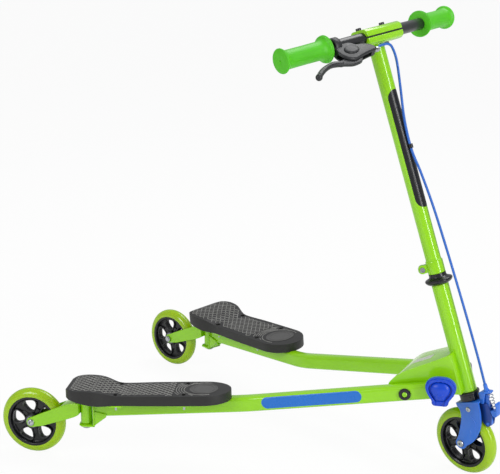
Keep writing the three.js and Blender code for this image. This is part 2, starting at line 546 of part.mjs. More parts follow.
// Brake bracket in front of the crown: wall, flange with the cable stop, and two cheeks down to the pivot pin.
function bracketBody() {
  const { half, plate, cheek, wallX, flangeZ, flangeFront, stopX, bootRadius, bootHeight, pivotX, pivotZ } = brake;
  const wall = block([wallX - plate, wallX], [-half, half], [brake.wallBottom, flangeZ + plate]);
  const flange = block([wallX - plate, flangeFront], [-half, half], [flangeZ, flangeZ + plate]);
  const outline = [[wallX - plate, flangeZ], [wallX - plate, 62], [pivotX - 5.2, pivotZ + 4], [pivotX - 3.6, pivotZ - 4],
    [pivotX + 3, pivotZ - 5], [pivotX + 5.4, pivotZ + 1], [wallX + 7, 62], [wallX + 6, flangeZ]];
  const cheeks = [-half, half - cheek].map((y) => sideSlab(outline, y, y + cheek));
  const stop = turned([[cable.radius + runGap, flangeZ + plate - 0.01], [bootRadius + 1.4, flangeZ + plate - 0.01],
    [bootRadius + 1.4, flangeZ + plate + 2], [bootRadius, flangeZ + plate + 3], [bootRadius - 0.5, flangeZ + plate + bootHeight],
    [cable.radius + runGap, flangeZ + plate + bootHeight]], fine.bolt);
  const wire = rod(cable.radius + runGap, flangeZ - 5, flangeZ + 30, fine.bolt);
  const pin = sideSlab(circle(brake.pinRadius, fine.bolt, pivotX, pivotZ), -half - 1.4, half + 1.4);
  return fuse(cut(fuse(wall, flange), shifted(wire, stopX, 0, 0)), ...cheeks, shifted(stop, stopX, 0, 0), pin);
}

function brakeArm() {
  const { pivotX, pivotZ, armHalf, hookX, hookZ, hookRadius, pinRadius, springFoot } = brake;
  const [axleX, , axleZ] = frontAxle;
  const onWheel = (radius, angle) => [axleX + radius * Math.cos(angle), axleZ + radius * Math.sin(angle)];
  const inner = wheel.radius + brake.padGap;
  const outer = inner + brake.padDepth;
  const steps = 5;
  const angles = Array.from({ length: steps + 1 }, (_, i) => brake.padFrom + ((brake.padTo - brake.padFrom) * i) / steps);
  const pad = sideSlab([...angles.map((a) => onWheel(inner, a)), ...angles.reverse().map((a) => onWheel(outer, a))],
    -brake.padHalf, brake.padHalf);
  const web = [[pivotX - 4.6, pivotZ - 1], [pivotX, pivotZ - 4.8], [pivotX + 5, pivotZ], [hookX + 2, hookZ - 5],
    [hookX + 3, hookZ + 3], [hookX - 4, springFoot - fitGap], [pivotX + 10, springFoot - fitGap], [pivotX + 4, pivotZ + 15],
    onWheel(outer + 3, brake.padTo), onWheel(outer - 1, brake.padTo), onWheel(outer - 1, brake.padFrom)];
  const hook = sideSlab(circle(hookRadius, fine.bolt, hookX, hookZ - 1), -armHalf, armHalf);
  const hole = sideSlab(circle(pinRadius + runGap, fine.bolt, pivotX, pivotZ), -20, 20);
  const seat = shifted(rod(brake.springRadius + brake.springWire + runGap, springFoot - fitGap, brake.flangeZ), brake.springX, 0, 0);
  return cut(fuse(sideSlab(web, -armHalf, armHalf), hook, pad), hole, seat);
}

function springBody() {
  const { springX, springFoot, flangeZ, springRadius, springWire, springTurns } = brake;
  const bottom = springFoot + springWire + fitGap;
  const top = flangeZ - springWire - fitGap;
  const steps = springTurns * 8;
  const points = Array.from({ length: steps + 1 }, (_, i) => {
    const angle = (i / 8) * FULL_TURN;
    return vector(springX + springRadius * Math.cos(angle), springRadius * Math.sin(angle), bottom + ((top - bottom) * i) / steps);
  });
  return swept(new THREE.CatmullRomCurve3(points), steps, circle(springWire, 5));
}

// Right arm: bent tube with the fold hole and open notch in front, deck straps and the caster bracket behind.
function armPath(startBeyond, endBeyond) {
  const frontLength = (arm.frontEnd - arm.bend[0]) / frontWay.x + startBeyond;
  const planLength = Math.hypot(caster.pivot[0] - arm.bend[0], caster.pivot[1] - arm.bend[1]) - bracket.back;
  const rearLength = planLength / Math.cos(arm.rearPitch) + endBeyond;
  const turnAngle = frontWay.clone().negate().angleTo(rearWay);
  const tangent = arm.bendRadius * Math.tan(turnAngle / 2) * 2;
  const stops = [{ point: armBend.clone().addScaledVector(frontWay, frontLength), share: 0 }];
  for (let i = 0; i <= arm.bendSteps; i += 1) {
    const share = i / arm.bendSteps;
    const point = armBend.clone().addScaledVector(frontWay, tangent * (1 - share) ** 2).addScaledVector(rearWay, tangent * share ** 2);
    stops.push({ point, share });
  }
  stops.push({ point: armBend.clone().addScaledVector(rearWay, rearLength), share: 1 });
  return stops;
}

function armTube(inset, startBeyond, endBeyond) {
  const rings = armPath(startBeyond, endBeyond).map(({ point, share }) => {
    const way = frontWay.clone().negate().lerp(rearWay, share).normalize();
    const side = way.clone().cross(up).normalize();
    const top = side.clone().cross(way);
    return chamfered(arm.halfWidth - inset, arm.halfHeight - inset, arm.chamfer - 0.4 * inset)
      .map(([x, y]) => point.clone().addScaledVector(side, x).addScaledVector(top, y));
  });
  return lofted(rings);
}

function straps() {
  const arms = [deck.screws[0][0], deck.screws[2][0]].map((at) => {
    const plate = block([at - strap.width, at + strap.width], [-strap.half, strap.half], [strap.top - strap.sheet, strap.top]);
    const riser = block([at - strap.riserHalf, at + strap.riserHalf], [-deck.outward - 9, -deck.outward + 9],
      [strap.top - strap.sheet - 9, strap.top - 1]);
    return fuse(plate, riser);
  });
  const holes = deck.screws.map(([x, y]) => shifted(rod(screw.radius + runGap, -40, 0, fine.hex), x, y, 0));
  return cut(fuse(...arms), ...holes);
}

function casterBracket() {
  const { half, back, backPlate, plate, rear, bottomTop, topBottom, corner } = bracket;
  const outline = [[-back - backPlate, -half], [rear - corner, -half], [rear, -half + corner], [rear, half - corner],
    [rear - corner, half], [-back - backPlate, half]];
  const bottom = raised(outline, bottomTop - plate, bottomTop);
  const top = raised(outline, topBottom, topBottom + plate);
  const wall = block([-back - backPlate, -back], [-half, half], [bottomTop - plate, topBottom + plate]);
  const cheekOutline = [[-back, bottomTop - plate], [-back - 20, 82], [-back - 20, 86], [-back, 90]];
  const beside = arm.halfWidth - 0.2;
  const cheeks = [-beside - plate, beside].map((y) => sideSlab(cheekOutline, y, y + plate));
  const hole = rod(kingPin.radius + runGap, 40, 130, fine.bolt);
  return cut(fuse(bottom, top, wall, ...cheeks), hole);
}

function rightArm() {
  const tube = armTube(0, 0, 0);
  const bore = armTube(arm.wall, 5, -6);
  const bushing = moved(rod(fold.boss, -arm.halfWidth + 1, arm.halfWidth - 1, fine.bolt), hingeFrame);
  const hole = moved(rod(fold.boltRadius + runGap, -30, 30, fine.bolt), hingeFrame);
  const { slotHalf, slotFlare } = stud;
  const lean = 0.1;
  const notch = raised([...circle(slotHalf, 8).filter(([, y]) => y <= 0.01),
    [slotHalf + slotFlare - 60 * lean, 30], [-slotHalf - slotFlare - 60 * lean, 30]].sort(byAngle), -30, 30);
  const opening = moved(shifted(notch, studForward, studUp, 0), hingeFrame);
  const carried = fuse(cut(tube, bore), bushing, moved(straps(), deckFrame()), moved(casterBracket(), bracketFrame));
  return cut(carried, hole, opening);
}

function byAngle([ax, ay], [bx, by]) {
  return Math.atan2(ay - 6, ax) - Math.atan2(by - 6, bx);
}

function endPlug() {
  const face = raised(chamfered(arm.halfWidth, arm.halfHeight, arm.chamfer), 0, plug.flange);
  const inset = arm.wall + fitGap;
  const stub = raised(chamfered(arm.halfWidth - inset, arm.halfHeight - inset, arm.chamfer - 0.4 * inset), -plug.depth, 0.01);
  return fuse(face, stub);
}

function plugFrame() {
  const start = armPath(fitGap, 0)[0].point;
  const side = frontWay.clone().cross(up).normalize();
  return frameOf(side, frontWay.clone().cross(side), frontWay, start.toArray());
}

function foldBolt() {
  const face = arm.halfWidth + fitGap;
  const inside = -(arm.halfWidth + gusset.sideGap + gusset.sheet + fitGap);
  const shank = rod(fold.boltRadius, inside - 5.5, face + 1, fine.bolt);
  const { capRadius, capHeight } = fold;
  const cap = turned([[0, face], [capRadius, face], [capRadius, face + capHeight - 1.4], [capRadius - 1.6, face + capHeight],
    [5, face + capHeight], [4.4, face + capHeight - 1.4], [0, face + capHeight - 1.4]], 12);
  const nut = raised(circle(7.2, fine.hex), inside - 4.4, inside);
  return fuse(shank, cap, nut);
}

function clampStud() {
  const inside = -(arm.halfWidth + gusset.sideGap + gusset.sheet + fitGap);
  const shank = rod(stud.radius, inside - 1, knob.boreDepth, fine.bolt);
  const head = raised(circle(7.2, fine.hex), inside - 4.8, inside);
  return fuse(shank, head);
}

function knobBody() {
  const half = knob.outline;
  const full = [...half, ...half.slice(1).reverse().map(([x, y]) => [-x, y])];
  const ring = (share, z) => full.map(([x, y]) => vector(x * share, y * share, z));
  const { base, rim, shoulder, top, shoulderShare, topShare } = knob;
  const dome = lofted([ring(0.93, base), ring(1, base + 2), ring(1, rim), ring(shoulderShare, shoulder), ring(topShare, top)]);
  const hole = rod(knob.bore, base - 5, knob.boreDepth + 0.6, fine.bolt);
  return cut(dome, hole);
}

// Caster yoke: inverted channel over the wheel's front, welded to the pivot sleeve.
function yokeBody() {
  const { plate, innerHalf, noseRadius, roof, floor, wallX, webEnd, trail, tubeRadius, tubeBore, tubeBottom, tubeTop } = caster;
  const outerHalf = innerHalf + plate;
  const slope = Math.atan2(roof[4][1] - wheel.radius, trail - roof[4][0]);
  const nose = circle(noseRadius, 12, trail, wheel.radius);
  const upper = [trail + noseRadius * Math.sin(slope), wheel.radius + noseRadius * Math.cos(slope)];
  const side = [[wallX, roof[0][1]], ...roof, upper, [trail, wheel.radius], ...floor];
  const outer = fuse(sideSlab(side, -outerHalf, outerHalf), sideSlab(nose, -outerHalf, outerHalf));
  const inside = sideSlab([[wallX + plate, 40], [wallX + plate, roof[0][1] - plate], [roof[1][0] - 1, roof[1][1] - plate],
    [webEnd, roof[2][1] - plate], [webEnd, 130], [130, 130], [130, 40]], -innerHalf, innerHalf);
  const sleeve = rod(tubeRadius, tubeBottom, tubeTop);
  const bore = rod(tubeBore, tubeBottom - 10, tubeTop + 10);
  const hole = sideSlab(circle(axle.radius + runGap, fine.bolt, trail, wheel.radius), -30, 30);
  return cut(fuse(cut(outer, inside), sleeve), bore, hole);
}

function kingPinBody() {
  const top = bracket.topBottom + bracket.plate + fitGap;
  const bottom = bracket.bottomTop - bracket.plate - fitGap;
  const { radius, headRadius, headHeight, nutHeight, nutRadius } = kingPin;
  const shank = rod(radius, bottom - nutHeight - 1.2, top, fine.bolt);
  const head = turned([[0, top], [headRadius, top], [headRadius, top + headHeight - 1.4], [headRadius - 2.4, top + headHeight],
    [0, top + headHeight]], 12);
  const nut = raised(circle(nutRadius, fine.hex), bottom - nutHeight, bottom);
  return fuse(shank, head, nut);
}

// Footboard: skinned shell with a rounded toe, narrow waist and raised heel, hollow below.
function deckSolid(inset, lower) {
  const stations = [];
  const toeSteps = [76, 54, 36, 18];
  toeSteps.forEach((angle) => {
    const turn = angle * DEGREE;
    stations.push([deck.toeFrom - deck.toe * Math.sin(turn), deck.toeHalf * Math.cos(turn), 0, 0]);
  });
  stations.push(...deck.stations);
  const first = stations[0][0];
  const last = stations[stations.length - 1][0];
  const rings = stations.map(([u, half, rise, floor]) => {
    const x = first + inset + ((u - first) * (last - first - 2 * inset)) / (last - first);
    const w = Math.max(half - inset, 1.5);
    const top = rise - (lower ? deck.skin : 0);
    const bottom = lower ? -deck.skirt - 30 : floor - deck.skirt;
    const edge = Math.min(deck.edge, 0.7 * w);
    return [[w, bottom], [w, top - edge], [w - 0.3 * edge, top - 0.3 * edge], [w - edge, top], [0, top], [-w + edge, top],
      [-w + 0.3 * edge, top - 0.3 * edge], [-w, top - edge], [-w, bottom], [0, bottom]].map(([y, z]) => vector(x, y, z));
  });
  return lofted(rings);
}

function stadium(length, width) {
  const half = length / 2 - width / 2;
  return circle(width / 2, 8).map(([x, y]) => [x, y + Math.sign(y || 1) * half]);
}

function deckBody() {
  const outer = deckSolid(0, false);
  const hollow = deckSolid(deck.wall, true);
  const boardShell = cut(outer, hollow);
  const ribs = deck.ribs.map((x) => block([x - deck.ribHalf, x + deck.ribHalf], [-60, 60], [-14, 12]));
  const bosses = deck.screws.map(([x, y]) => shifted(rod(deck.bossRadius, strap.top + fitGap, -1, fine.hex), x, y, 0));
  const slots = deck.screws.map(([x, y]) => shifted(raised(stadium(deck.slotLength, deck.slotWidth), -deck.slotDepth, 20), x, y, 0));
  const holes = deck.screws.map(([x, y]) => shifted(rod(screw.radius + runGap, -40, 0, fine.hex), x, y, 0));
  const stiffeners = common(fuse(ribs[0], ...ribs.slice(1)), outer);
  const overArm = moved(armTube(-deck.armGap, 0, 0), deckFrame().invert());
  return cut(fuse(boardShell, stiffeners, ...bosses), ...slots, ...holes, overArm);
}

function deckScrew([x, y]) {
  const seat = -deck.slotDepth + fitGap;
  const shank = rod(screw.radius, screw.tip, seat, fine.hex);
  const head = turned([[0, seat], [screw.headRadius, seat], [screw.headRadius - 0.8, seat + screw.headHeight],
    [0, seat + screw.headHeight]], fine.hex);
  return shifted(fuse(shank, head), x, y, 0);
}

const paint = (color, roughness, metalness) => new THREE.MeshStandardMaterial({ color, roughness, metalness });
const finish = {
  green: paint(0x8fd61f, 0.35, 0.1), gripGreen: paint(0x58c80a, 0.6, 0), blue: paint(0x3f7fd8, 0.4, 0.1),
  knobBlue: paint(0x0b46d4, 0.4, 0), cableBlue: paint(0x2f6fc4, 0.45, 0), tyre: paint(0xa3cd1a, 0.3, 0),
  blackPlastic: paint(0x17181a, 0.45, 0), charcoal: paint(0x38393b, 0.7, 0), blackPaint: paint(0x1b1c1e, 0.4, 0.2),
  chrome: paint(0xc9ccd0, 0.25, 1), steel: paint(0x8c9096, 0.4, 1), darkBlue: paint(0x1f3f86, 0.45, 0.1),
};

const scooter = new THREE.Group();
scooter.name = 'three_wheel_scooter';
const flip = new THREE.Matrix4().makeScale(1, 1, -1);
const acrossMiddle = new THREE.Matrix4().makeScale(1, -1, 1);
const leftOf = (frame) => acrossMiddle.clone().multiply(frame).multiply(flip);

// Group for one moving body, standing at its own frame.
function bodyGroup(name, frame) {
  const group = new THREE.Group();
  group.name = name;
  group.applyMatrix4(frame);
  group.updateMatrix();
  scooter.add(group);
  return group;
}

// Mesh whose geometry is drawn in a frame of its own, hung in the group of its body.
function keep(group, name, geometry, material, frame) {
  const mesh = new THREE.Mesh(shell(solid(geometry)), material);
  mesh.name = name;
  mesh.applyMatrix4(group.matrix.clone().invert().multiply(frame));
  group.add(mesh);
}

// Right-hand piece and its mirror image on the left, each in its own body group.
function keepPair(groups, name, geometry, material, frame) {
  keep(groups.right, `right_${name}`, geometry, material, frame);
  keep(groups.left, `left_${name}`, moved(geometry, flip), material, leftOf(frame));
}

function bodyPair(name, frame) {
  return { right: bodyGroup(`right_${name}`, frame), left: bodyGroup(`left_${name}`, leftOf(frame)) };
}

const world = new THREE.Matrix4();

function buildFrame() {
  const frame = bodyGroup('frame', world);
  keep(frame, 'main_frame', mainFrame(), finish.green, world);
  keep(frame, 'lower_cup', lowerCupBody(), finish.blackPlastic, headFrame);
  const sides = { right: frame, left: frame };
  keepPair(sides, 'fold_bolt', foldBolt(), finish.blackPlastic, hingeFrame);
  keepPair(sides, 'clamp_stud', clampStud(), finish.steel, studFrame);
  keepPair(bodyPair('knob_body', studFrame), 'knob', knobBody(), finish.knobBlue, studFrame);
}

function buildArms() {
  const arms = bodyPair('arm_body', hingeFrame);
  const board = deckFrame();
  keepPair(arms, 'arm', rightArm(), finish.green, world);
  keepPair(arms, 'arm_plug', endPlug(), finish.blackPlastic, plugFrame());
  keepPair(arms, 'deck', deckBody(), finish.charcoal, board);
  deck.screws.forEach((place, i) => keepPair(arms, `deck_screw_${i + 1}`, deckScrew(place), finish.steel, board));
  keepPair(arms, 'king_pin', kingPinBody(), finish.chrome, bracketFrame);
  const casters = bodyPair('caster_body', casterFrame);
  keepPair(casters, 'yoke', yokeBody(), finish.green, casterFrame);
  keepPair(casters, 'rear_axle', axleBolt(caster.innerHalf + caster.plate), finish.chrome, rearWheelFrame);
}

function wheelParts() {
  return [['tyre', tyre(), finish.tyre], ['hub', hub(), finish.blackPlastic],
    ['bearing_outer', bearingBody(1), finish.steel], ['bearing_inner', bearingBody(-1), finish.steel]];
}

function buildWheels() {
  const rear = bodyPair('wheel_body', rearWheelFrame);
  wheelParts().forEach(([name, geometry, material]) => keepPair(rear, name, geometry, material, rearWheelFrame));
  const front = bodyGroup('front_wheel_body', frontWheelFrame);
  wheelParts().forEach(([name, geometry, material]) => (
    keep(front, `front_${name}`, geometry, material, frontWheelFrame)));
}

function buildSteering() {
  const body = bodyGroup('steering_body', steeringFrame);
  const add = (name, geometry, material, frame = steeringFrame) => keep(body, name, geometry, material, frame);
  add('steerer', steererTube(), finish.steel);
  add('collar', collarBody(), finish.blackPlastic);
  add('fork', forkBody(), finish.blue);
  add('front_axle', axleBolt(fork.innerHalf + fork.plate), finish.chrome, frontWheelFrame);
  add('stem', stemBody(), finish.green);
  add('pinch_bolt', pinchBolt(), finish.chrome);
  add('clamp_lower', clampLower(), finish.green);
  add('clamp_upper', clampHalf(1), finish.green);
  add('right_clamp_bolt', clampBolt(-1), finish.blackPaint);
  add('left_clamp_bolt', clampBolt(1), finish.blackPaint);
  add('handlebar', barBody(), finish.blackPaint);
  add('right_grip', gripBody(), finish.gripGreen, steeringFrame.clone().multiply(gripFrame(-1)));
  add('left_grip', gripBody(), finish.gripGreen, steeringFrame.clone().multiply(gripFrame(1)));
  add('brake_cable', cableBody(), finish.cableBlue);
  add('brake_bracket', bracketBody(), finish.blue);
  add('brake_spring', springBody(), finish.chrome);
  const handFrame = steeringFrame.clone().multiply(leverFrame);
  add('lever_perch', perchBody(), finish.blackPlastic, handFrame);
  keep(bodyGroup('lever_body', handFrame), 'brake_lever', leverBody(), finish.blackPlastic, handFrame);
  keep(bodyGroup('brake_arm_body', steeringFrame), 'brake_arm', brakeArm(), finish.darkBlue, steeringFrame);
}

buildFrame();
buildArms();
buildWheels();
buildSteering();
scooter.updateMatrixWorld(true);
const extent = new THREE.Box3().setFromObject(scooter, true);
const middle = extent.getCenter(new THREE.Vector3());
scooter.position.set(-middle.x, -middle.y, -extent.min.z);

export default scooter;
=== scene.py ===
"""Dressed model of a kids scooter with a steered front wheel and two folding caster legs.

Every piece is shaped in millimetres about a frame of its own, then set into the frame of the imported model.
X points forward, Y to the rider's left and Z up.
"""

from __future__ import annotations

import json
import logging
import math
from contextlib import contextmanager
from dataclasses import dataclass, field
from enum import Enum
from typing import Callable, Iterator, Sequence

import bpy
from mathutils import Matrix, Vector

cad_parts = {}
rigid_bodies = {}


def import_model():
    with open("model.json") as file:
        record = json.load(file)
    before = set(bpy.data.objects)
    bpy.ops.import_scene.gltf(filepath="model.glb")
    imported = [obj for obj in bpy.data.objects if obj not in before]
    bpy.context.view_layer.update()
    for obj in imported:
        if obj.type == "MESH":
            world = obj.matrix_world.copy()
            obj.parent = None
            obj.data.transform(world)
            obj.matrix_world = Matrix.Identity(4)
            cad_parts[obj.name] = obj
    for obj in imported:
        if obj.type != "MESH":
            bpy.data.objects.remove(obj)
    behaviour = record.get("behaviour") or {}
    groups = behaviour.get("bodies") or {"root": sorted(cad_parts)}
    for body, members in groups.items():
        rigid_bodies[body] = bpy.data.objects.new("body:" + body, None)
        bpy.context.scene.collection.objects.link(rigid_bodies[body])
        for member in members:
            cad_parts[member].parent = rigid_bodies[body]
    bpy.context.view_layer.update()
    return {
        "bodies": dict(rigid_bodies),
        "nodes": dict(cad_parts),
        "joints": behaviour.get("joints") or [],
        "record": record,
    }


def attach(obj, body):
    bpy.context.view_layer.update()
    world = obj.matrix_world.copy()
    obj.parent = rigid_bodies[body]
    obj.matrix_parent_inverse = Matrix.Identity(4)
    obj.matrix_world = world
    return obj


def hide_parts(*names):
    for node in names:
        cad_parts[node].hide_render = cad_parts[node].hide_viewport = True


LOG = logging.getLogger("scooter")
MM = 0.001
WELD = 0.0005
CREASE = 34.0
# Half length of a tool that cuts right through a piece.
THROUGH = 30.0
UP = Vector((0, 0, 1))
ORIGIN = Vector((0, 0, 0))
HERE = Matrix.Identity(4)
MIRROR = Matrix.Scale(-1, 4, (0, 1, 0))

Tree = bpy.types.NodeTree
Node = bpy.types.Node
Socket = bpy.types.NodeSocket
Inputs = dict[str | int, object]
Point = Sequence[float]
Outline = Sequence[Point]
Table = tuple[tuple[float, ...], ...]


class Side(Enum):
    """Side of the rider that a piece belongs to."""

    RIGHT = "right"
    LEFT = "left"

    @property
    def sign(self) -> int:
        """Sign of Y on this side."""
        return -1 if self is Side.RIGHT else 1

    @property
    def frame(self) -> Matrix:
        """Frame that carries a piece of the right side over to this one."""
        return HERE if self is Side.RIGHT else MIRROR


# Materials, each after a real one.

COAT_ROUGHNESS = 0.08
# Depth in millimetres that light soaks in, and the shares of it for red, green and blue.
SOAKING_DEPTH = 2.5
SOAKING_SHARES = (0.6, 1.0, 0.25)


def linear(colour: str) -> tuple[float, float, float, float]:
    """Turns an sRGB hex colour into the linear colour that a shader takes.

    Args:
        colour: Six hex digits.

    Returns:
        Red, green, blue and alpha, each from 0 to 1.
    """
    shares = [int(colour[i : i + 2], 16) / 255 for i in (0, 2, 4)]
    red, green, blue = (s / 12.92 if s <= 0.04045 else ((s + 0.055) / 1.055) ** 2.4 for s in shares)
    return red, green, blue, 1.0


def feed(tree: Tree, node: Node, inputs: Inputs) -> None:
    """Fills a node's named or numbered inputs with values, or links output sockets to them.

    Args:
        tree: Node tree of the material.
        node: Node whose inputs are filled.
        inputs: Value or output socket for each named or numbered input.
    """
    for socket, value in inputs.items():
        if isinstance(value, Socket):
            tree.links.new(value, node.inputs[socket])
        else:
            node.inputs[socket].default_value = value


def add_node(tree: Tree, kind: str, inputs: Inputs | None = None, **settings: object) -> Node:
    """Adds a node, gives it its settings and fills its inputs.

    Args:
        tree: Node tree of the material.
        kind: Blender's type name of the node, without ShaderNode in front.
        inputs: Value or output socket for each named or numbered input.
        **settings: Properties of the node itself.

    Returns:
        The new node.
    """
    node = tree.nodes.new(f"ShaderNode{kind}")
    for name, value in settings.items():
        setattr(node, name, value)
    feed(tree, node, inputs or {})
    return node


@dataclass(frozen=True)
class Finish:
    """Surface of one real material: its colours, gloss, grain and slight unevenness.

    The grain is the size of its bumps and their height, in millimetres.
    """

    name: str
    slot: str
    colours: tuple[str, str]
    roughness: float
    grain: tuple[float, float]
    metallic: float = 0.0
    coat: float = 0.0
    soft_light: float = 0.0
    cloud_mm: float = 60.0
    smear_mm: float = 18.0
    rough_swing: float = 0.08

    def material(self) -> bpy.types.Material:
        """Returns the material, which is made the first time it is asked for."""
        return bpy.data.materials.get(self.name) or self._made()

    def _made(self) -> bpy.types.Material:
        """Builds the node tree: the colour drifts and the gloss is uneven, as on any real batch.

        Returns:
            The new material.
        """
        material = bpy.data.materials.new(self.name)
        material.use_nodes = True
        tree = material.node_tree
        places = add_node(tree, "TexCoord").outputs["Object"]
        cloud_scale, smear_scale = 1 / (self.cloud_mm * MM), 1 / (self.smear_mm * MM)
        cloud = add_node(tree, "TexNoise", {"Vector": places, "Scale": cloud_scale, "Detail": 3.0})
        first, second = (linear(colour) for colour in self.colours)
        mix = add_node(tree, "Mix", {"Factor": cloud.outputs["Fac"], 6: first, 7: second}, data_type="RGBA")
        smear = add_node(
            tree, "TexNoise", {"Vector": places, "Scale": smear_scale, "Detail": 5.0, "Roughness": 0.6})
        low, high = max(self.roughness - self.rough_swing, 0.04), min(self.roughness + self.rough_swing, 1.0)
        gloss = add_node(tree, "MapRange", {"Value": smear.outputs["Fac"], "To Min": low, "To Max": high})
        height, strength = self._grain(tree, places)
        relief = {"Height": height, "Strength": strength, "Distance": self.grain[1] * MM}
        bump = add_node(tree, "Bump", relief)
        feed(tree, tree.nodes["Principled BSDF"], {
            "Base Color": mix.outputs[2], "Metallic": self.metallic, "Roughness": gloss.outputs["Result"],
            "Normal": bump.outputs["Normal"], "Coat Weight": self.coat, "Coat Roughness": COAT_ROUGHNESS,
            "Subsurface Weight": self.soft_light, "Subsurface Radius": SOAKING_SHARES,
            "Subsurface Scale": SOAKING_DEPTH * MM})
        return material

    def _grain(self, tree: Tree, places: Socket) -> tuple[Socket, float]:
        """Height of the surface's fine grain and the strength that it shows with."""
        scale = 1 / (self.grain[0] * MM)
        grain = add_node(tree, "TexNoise", {"Vector": places, "Scale": scale, "Detail": 2.0})
        return grain.outputs["Fac"], 1.0


@dataclass(frozen=True)
class BrushedFinish(Finish):
    """Turned or drawn steel, whose grain is fine lines that run aslant over the piece."""

    lines_to_scale: float = 20.0

    def _grain(self, tree: Tree, places: Socket) -> tuple[Socket, float]:
        """Height of the lines and the strength that they show with.

        Args:
            tree: Node tree of the material.
            places: Socket with the object's own coordinates.

        Returns:
            The height's socket and the strength.
        """
        scale = 1 / (self.grain[0] * MM * self.lines_to_scale)
        lines = add_node(
            tree, "TexWave",
            {"Vector": places, "Scale": scale, "Distortion": 2.0, "Detail": 2.0, "Detail Scale": 3.0},
            bands_direction="DIAGONAL")
        return lines.outputs["Fac"], 0.6


# Powder coat is baked paint: glossy, with a faint orange peel that breaks up each highlight.
GREEN_POWDER_COAT = Finish(
    "green_powder_coat", "green_paint", ("8cd000", "96d804"), 0.2, (1.5, 0.008), coat=0.4, rough_swing=0.05)
BLUE_POWDER_COAT = Finish(
    "blue_powder_coat", "blue_paint", ("2467d0", "2e74dc"), 0.24, (1.3, 0.01), coat=0.35, rough_swing=0.05)
BLACK_POWDER_COAT = Finish(
    "black_powder_coat", "black_paint", ("17181a", "1f2022"), 0.3, (1.3, 0.012), coat=0.2)
# Cast polyurethane is clear enough for light to soak in a few millimetres, so its crown glows.
LIME_POLYURETHANE = Finish(
    "lime_cast_polyurethane", "wheel_tyre", ("9ac000", "a4ca04"), 0.16, (3.0, 0.008), coat=0.2,
    soft_light=0.35, rough_swing=0.05)
# Glass filled nylon comes out of its mould nearly black, and its edges catch a soft sheen.
BLACK_NYLON = Finish("black_moulded_nylon", "black_plastic", ("111214", "1a1b1d"), 0.24, (0.7, 0.02))
# The lever's nylon is greyer and duller, from a coarser mould that hands polish unevenly.
LEVER_NYLON = Finish(
    "lever_moulded_nylon", "black_plastic", ("1d1e20", "27282a"), 0.42, (0.6, 0.03), cloud_mm=16)
# Footboards are moulded polypropylene with a spark eroded grain that takes the gloss off.
FOOTBOARD_POLYPROPYLENE = Finish(
    "footboard_polypropylene", "deck_plastic", ("1b1a1a", "232221"), 0.5, (0.9, 0.05))
# The tops of the tread stand proud, where shoes have scuffed them pale.
TREAD_POLYPROPYLENE = Finish(
    "tread_polypropylene", "deck_plastic", ("a5a4a0", "5d5c5a"), 0.5, (0.8, 0.05), cloud_mm=9)
# The medallion comes out of a smoother mould, so that it looks paler and flatter than the board.
MEDALLION_POLYPROPYLENE = Finish(
    "medallion_polypropylene", "deck_plastic", ("474645", "51504e"), 0.4, (0.9, 0.02))
# Grip rubber is matt, a little see-through at its thin edges, and darker where palms rub it.
GREEN_RUBBER = Finish(
    "green_thermoplastic_rubber", "grip_rubber", ("48b800", "52c404"), 0.46, (0.8, 0.03), soft_light=0.12)
# The knob is glossy moulded plastic with polished edges.
BLUE_ABS = Finish("blue_moulded_abs", "knob_plastic", ("003cc0", "0246cc"), 0.3, (0.9, 0.012))
# The brake arm takes a darker blue than the paint beside it; the darker blue is painted shade on its side
# plates.
BLUE_NYLON_PAINTED_SHADE = Finish("blue_nylon_painted_shade", "brake_blue", ("123a86", "174296"), 0.36, (0.8, 0.02))
# The cable's jacket is extruded smooth and keeps a faint waviness.
BLUE_PVC = Finish("blue_pvc_jacket", "cable_jacket", ("215fbc", "2a69c6"), 0.34, (0.8, 0.01))
# Bright zinc is nearly a mirror, with dull blooms where it was touched.
BRIGHT_ZINC = Finish(
    "bright_zinc_plate", "bright_steel", ("c3c6c9", "aeb2b6"), 0.24, (1.2, 0.01), metallic=1.0)
# Turned steel shows the lines that the tool left.
DARK_STEEL = BrushedFinish(
    "turned_bearing_steel", "plain_steel", ("8b8f94", "8b8f94"), 0.34, (0.5, 0.01), metallic=1.0)
# Vinyl film lies flat on the paint, evenly coloured and a shade duller than what it covers.
BLACK_FILM = Finish("black_vinyl_film", "green_paint", ("141416", "1b1b1e"), 0.28, (2.0, 0.004))
BLUE_FILM = Finish("blue_vinyl_film", "green_paint", ("1168c4", "1870cc"), 0.28, (2.0, 0.004))
PALE_FILM = Finish("pale_vinyl_film", "green_paint", ("c9cfc0", "bcc3b2"), 0.32, (2.0, 0.004))


# Curves and frames in plain numbers.


def smooth(points: Outline, steps: int = 6, closed: bool = False) -> list[Vector]:
    """Runs a smooth curve through points.

    Args:
        points: Corners in two or three dimensions.
        steps: Stretches between two corners.
        closed: Whether the curve comes back to its start.

    Returns:
        Points along the curve.
    """
    corners = [Vector((*p, 0.0)) if len(p) == 2 else Vector(p) for p in points]
    count = len(corners)
    curve: list[Vector] = []
    for i in range(count if closed else count - 1):
        places = [(i + k) % count if closed else min(max(i + k, 0), count - 1) for k in (-1, 0, 1, 2)]
        before, start, end, after = (corners[place] for place in places)
        for step in range(steps):
            t = step / steps
            curve.append(
                0.5 * ((2 * start) + (end - before) * t + (2 * before - 5 * start + 4 * end - after) * t**2
                       + (3 * start - before - 3 * end + after) * t**3))
    return curve if closed else [*curve, corners[-1]]


def arc(radius: float, start: float, end: float, steps: int, centre: Point = (0.0, 0.0)) -> list[Vector]:
    """Points on an arc between two angles in degrees, both ends included."""
    angles = [math.radians(start + (end - start) * i / steps) for i in range(steps + 1)]
    return [Vector((centre[0] + radius * math.cos(a), centre[1] + radius * math.sin(a), 0.0)) for a in angles]


def ring(radius: float, sides: int, centre: Point = (0.0, 0.0)) -> list[Vector]:
    """Corners of a regular outline about a centre."""
    return arc(radius, 0, 360, sides, centre)[:-1]


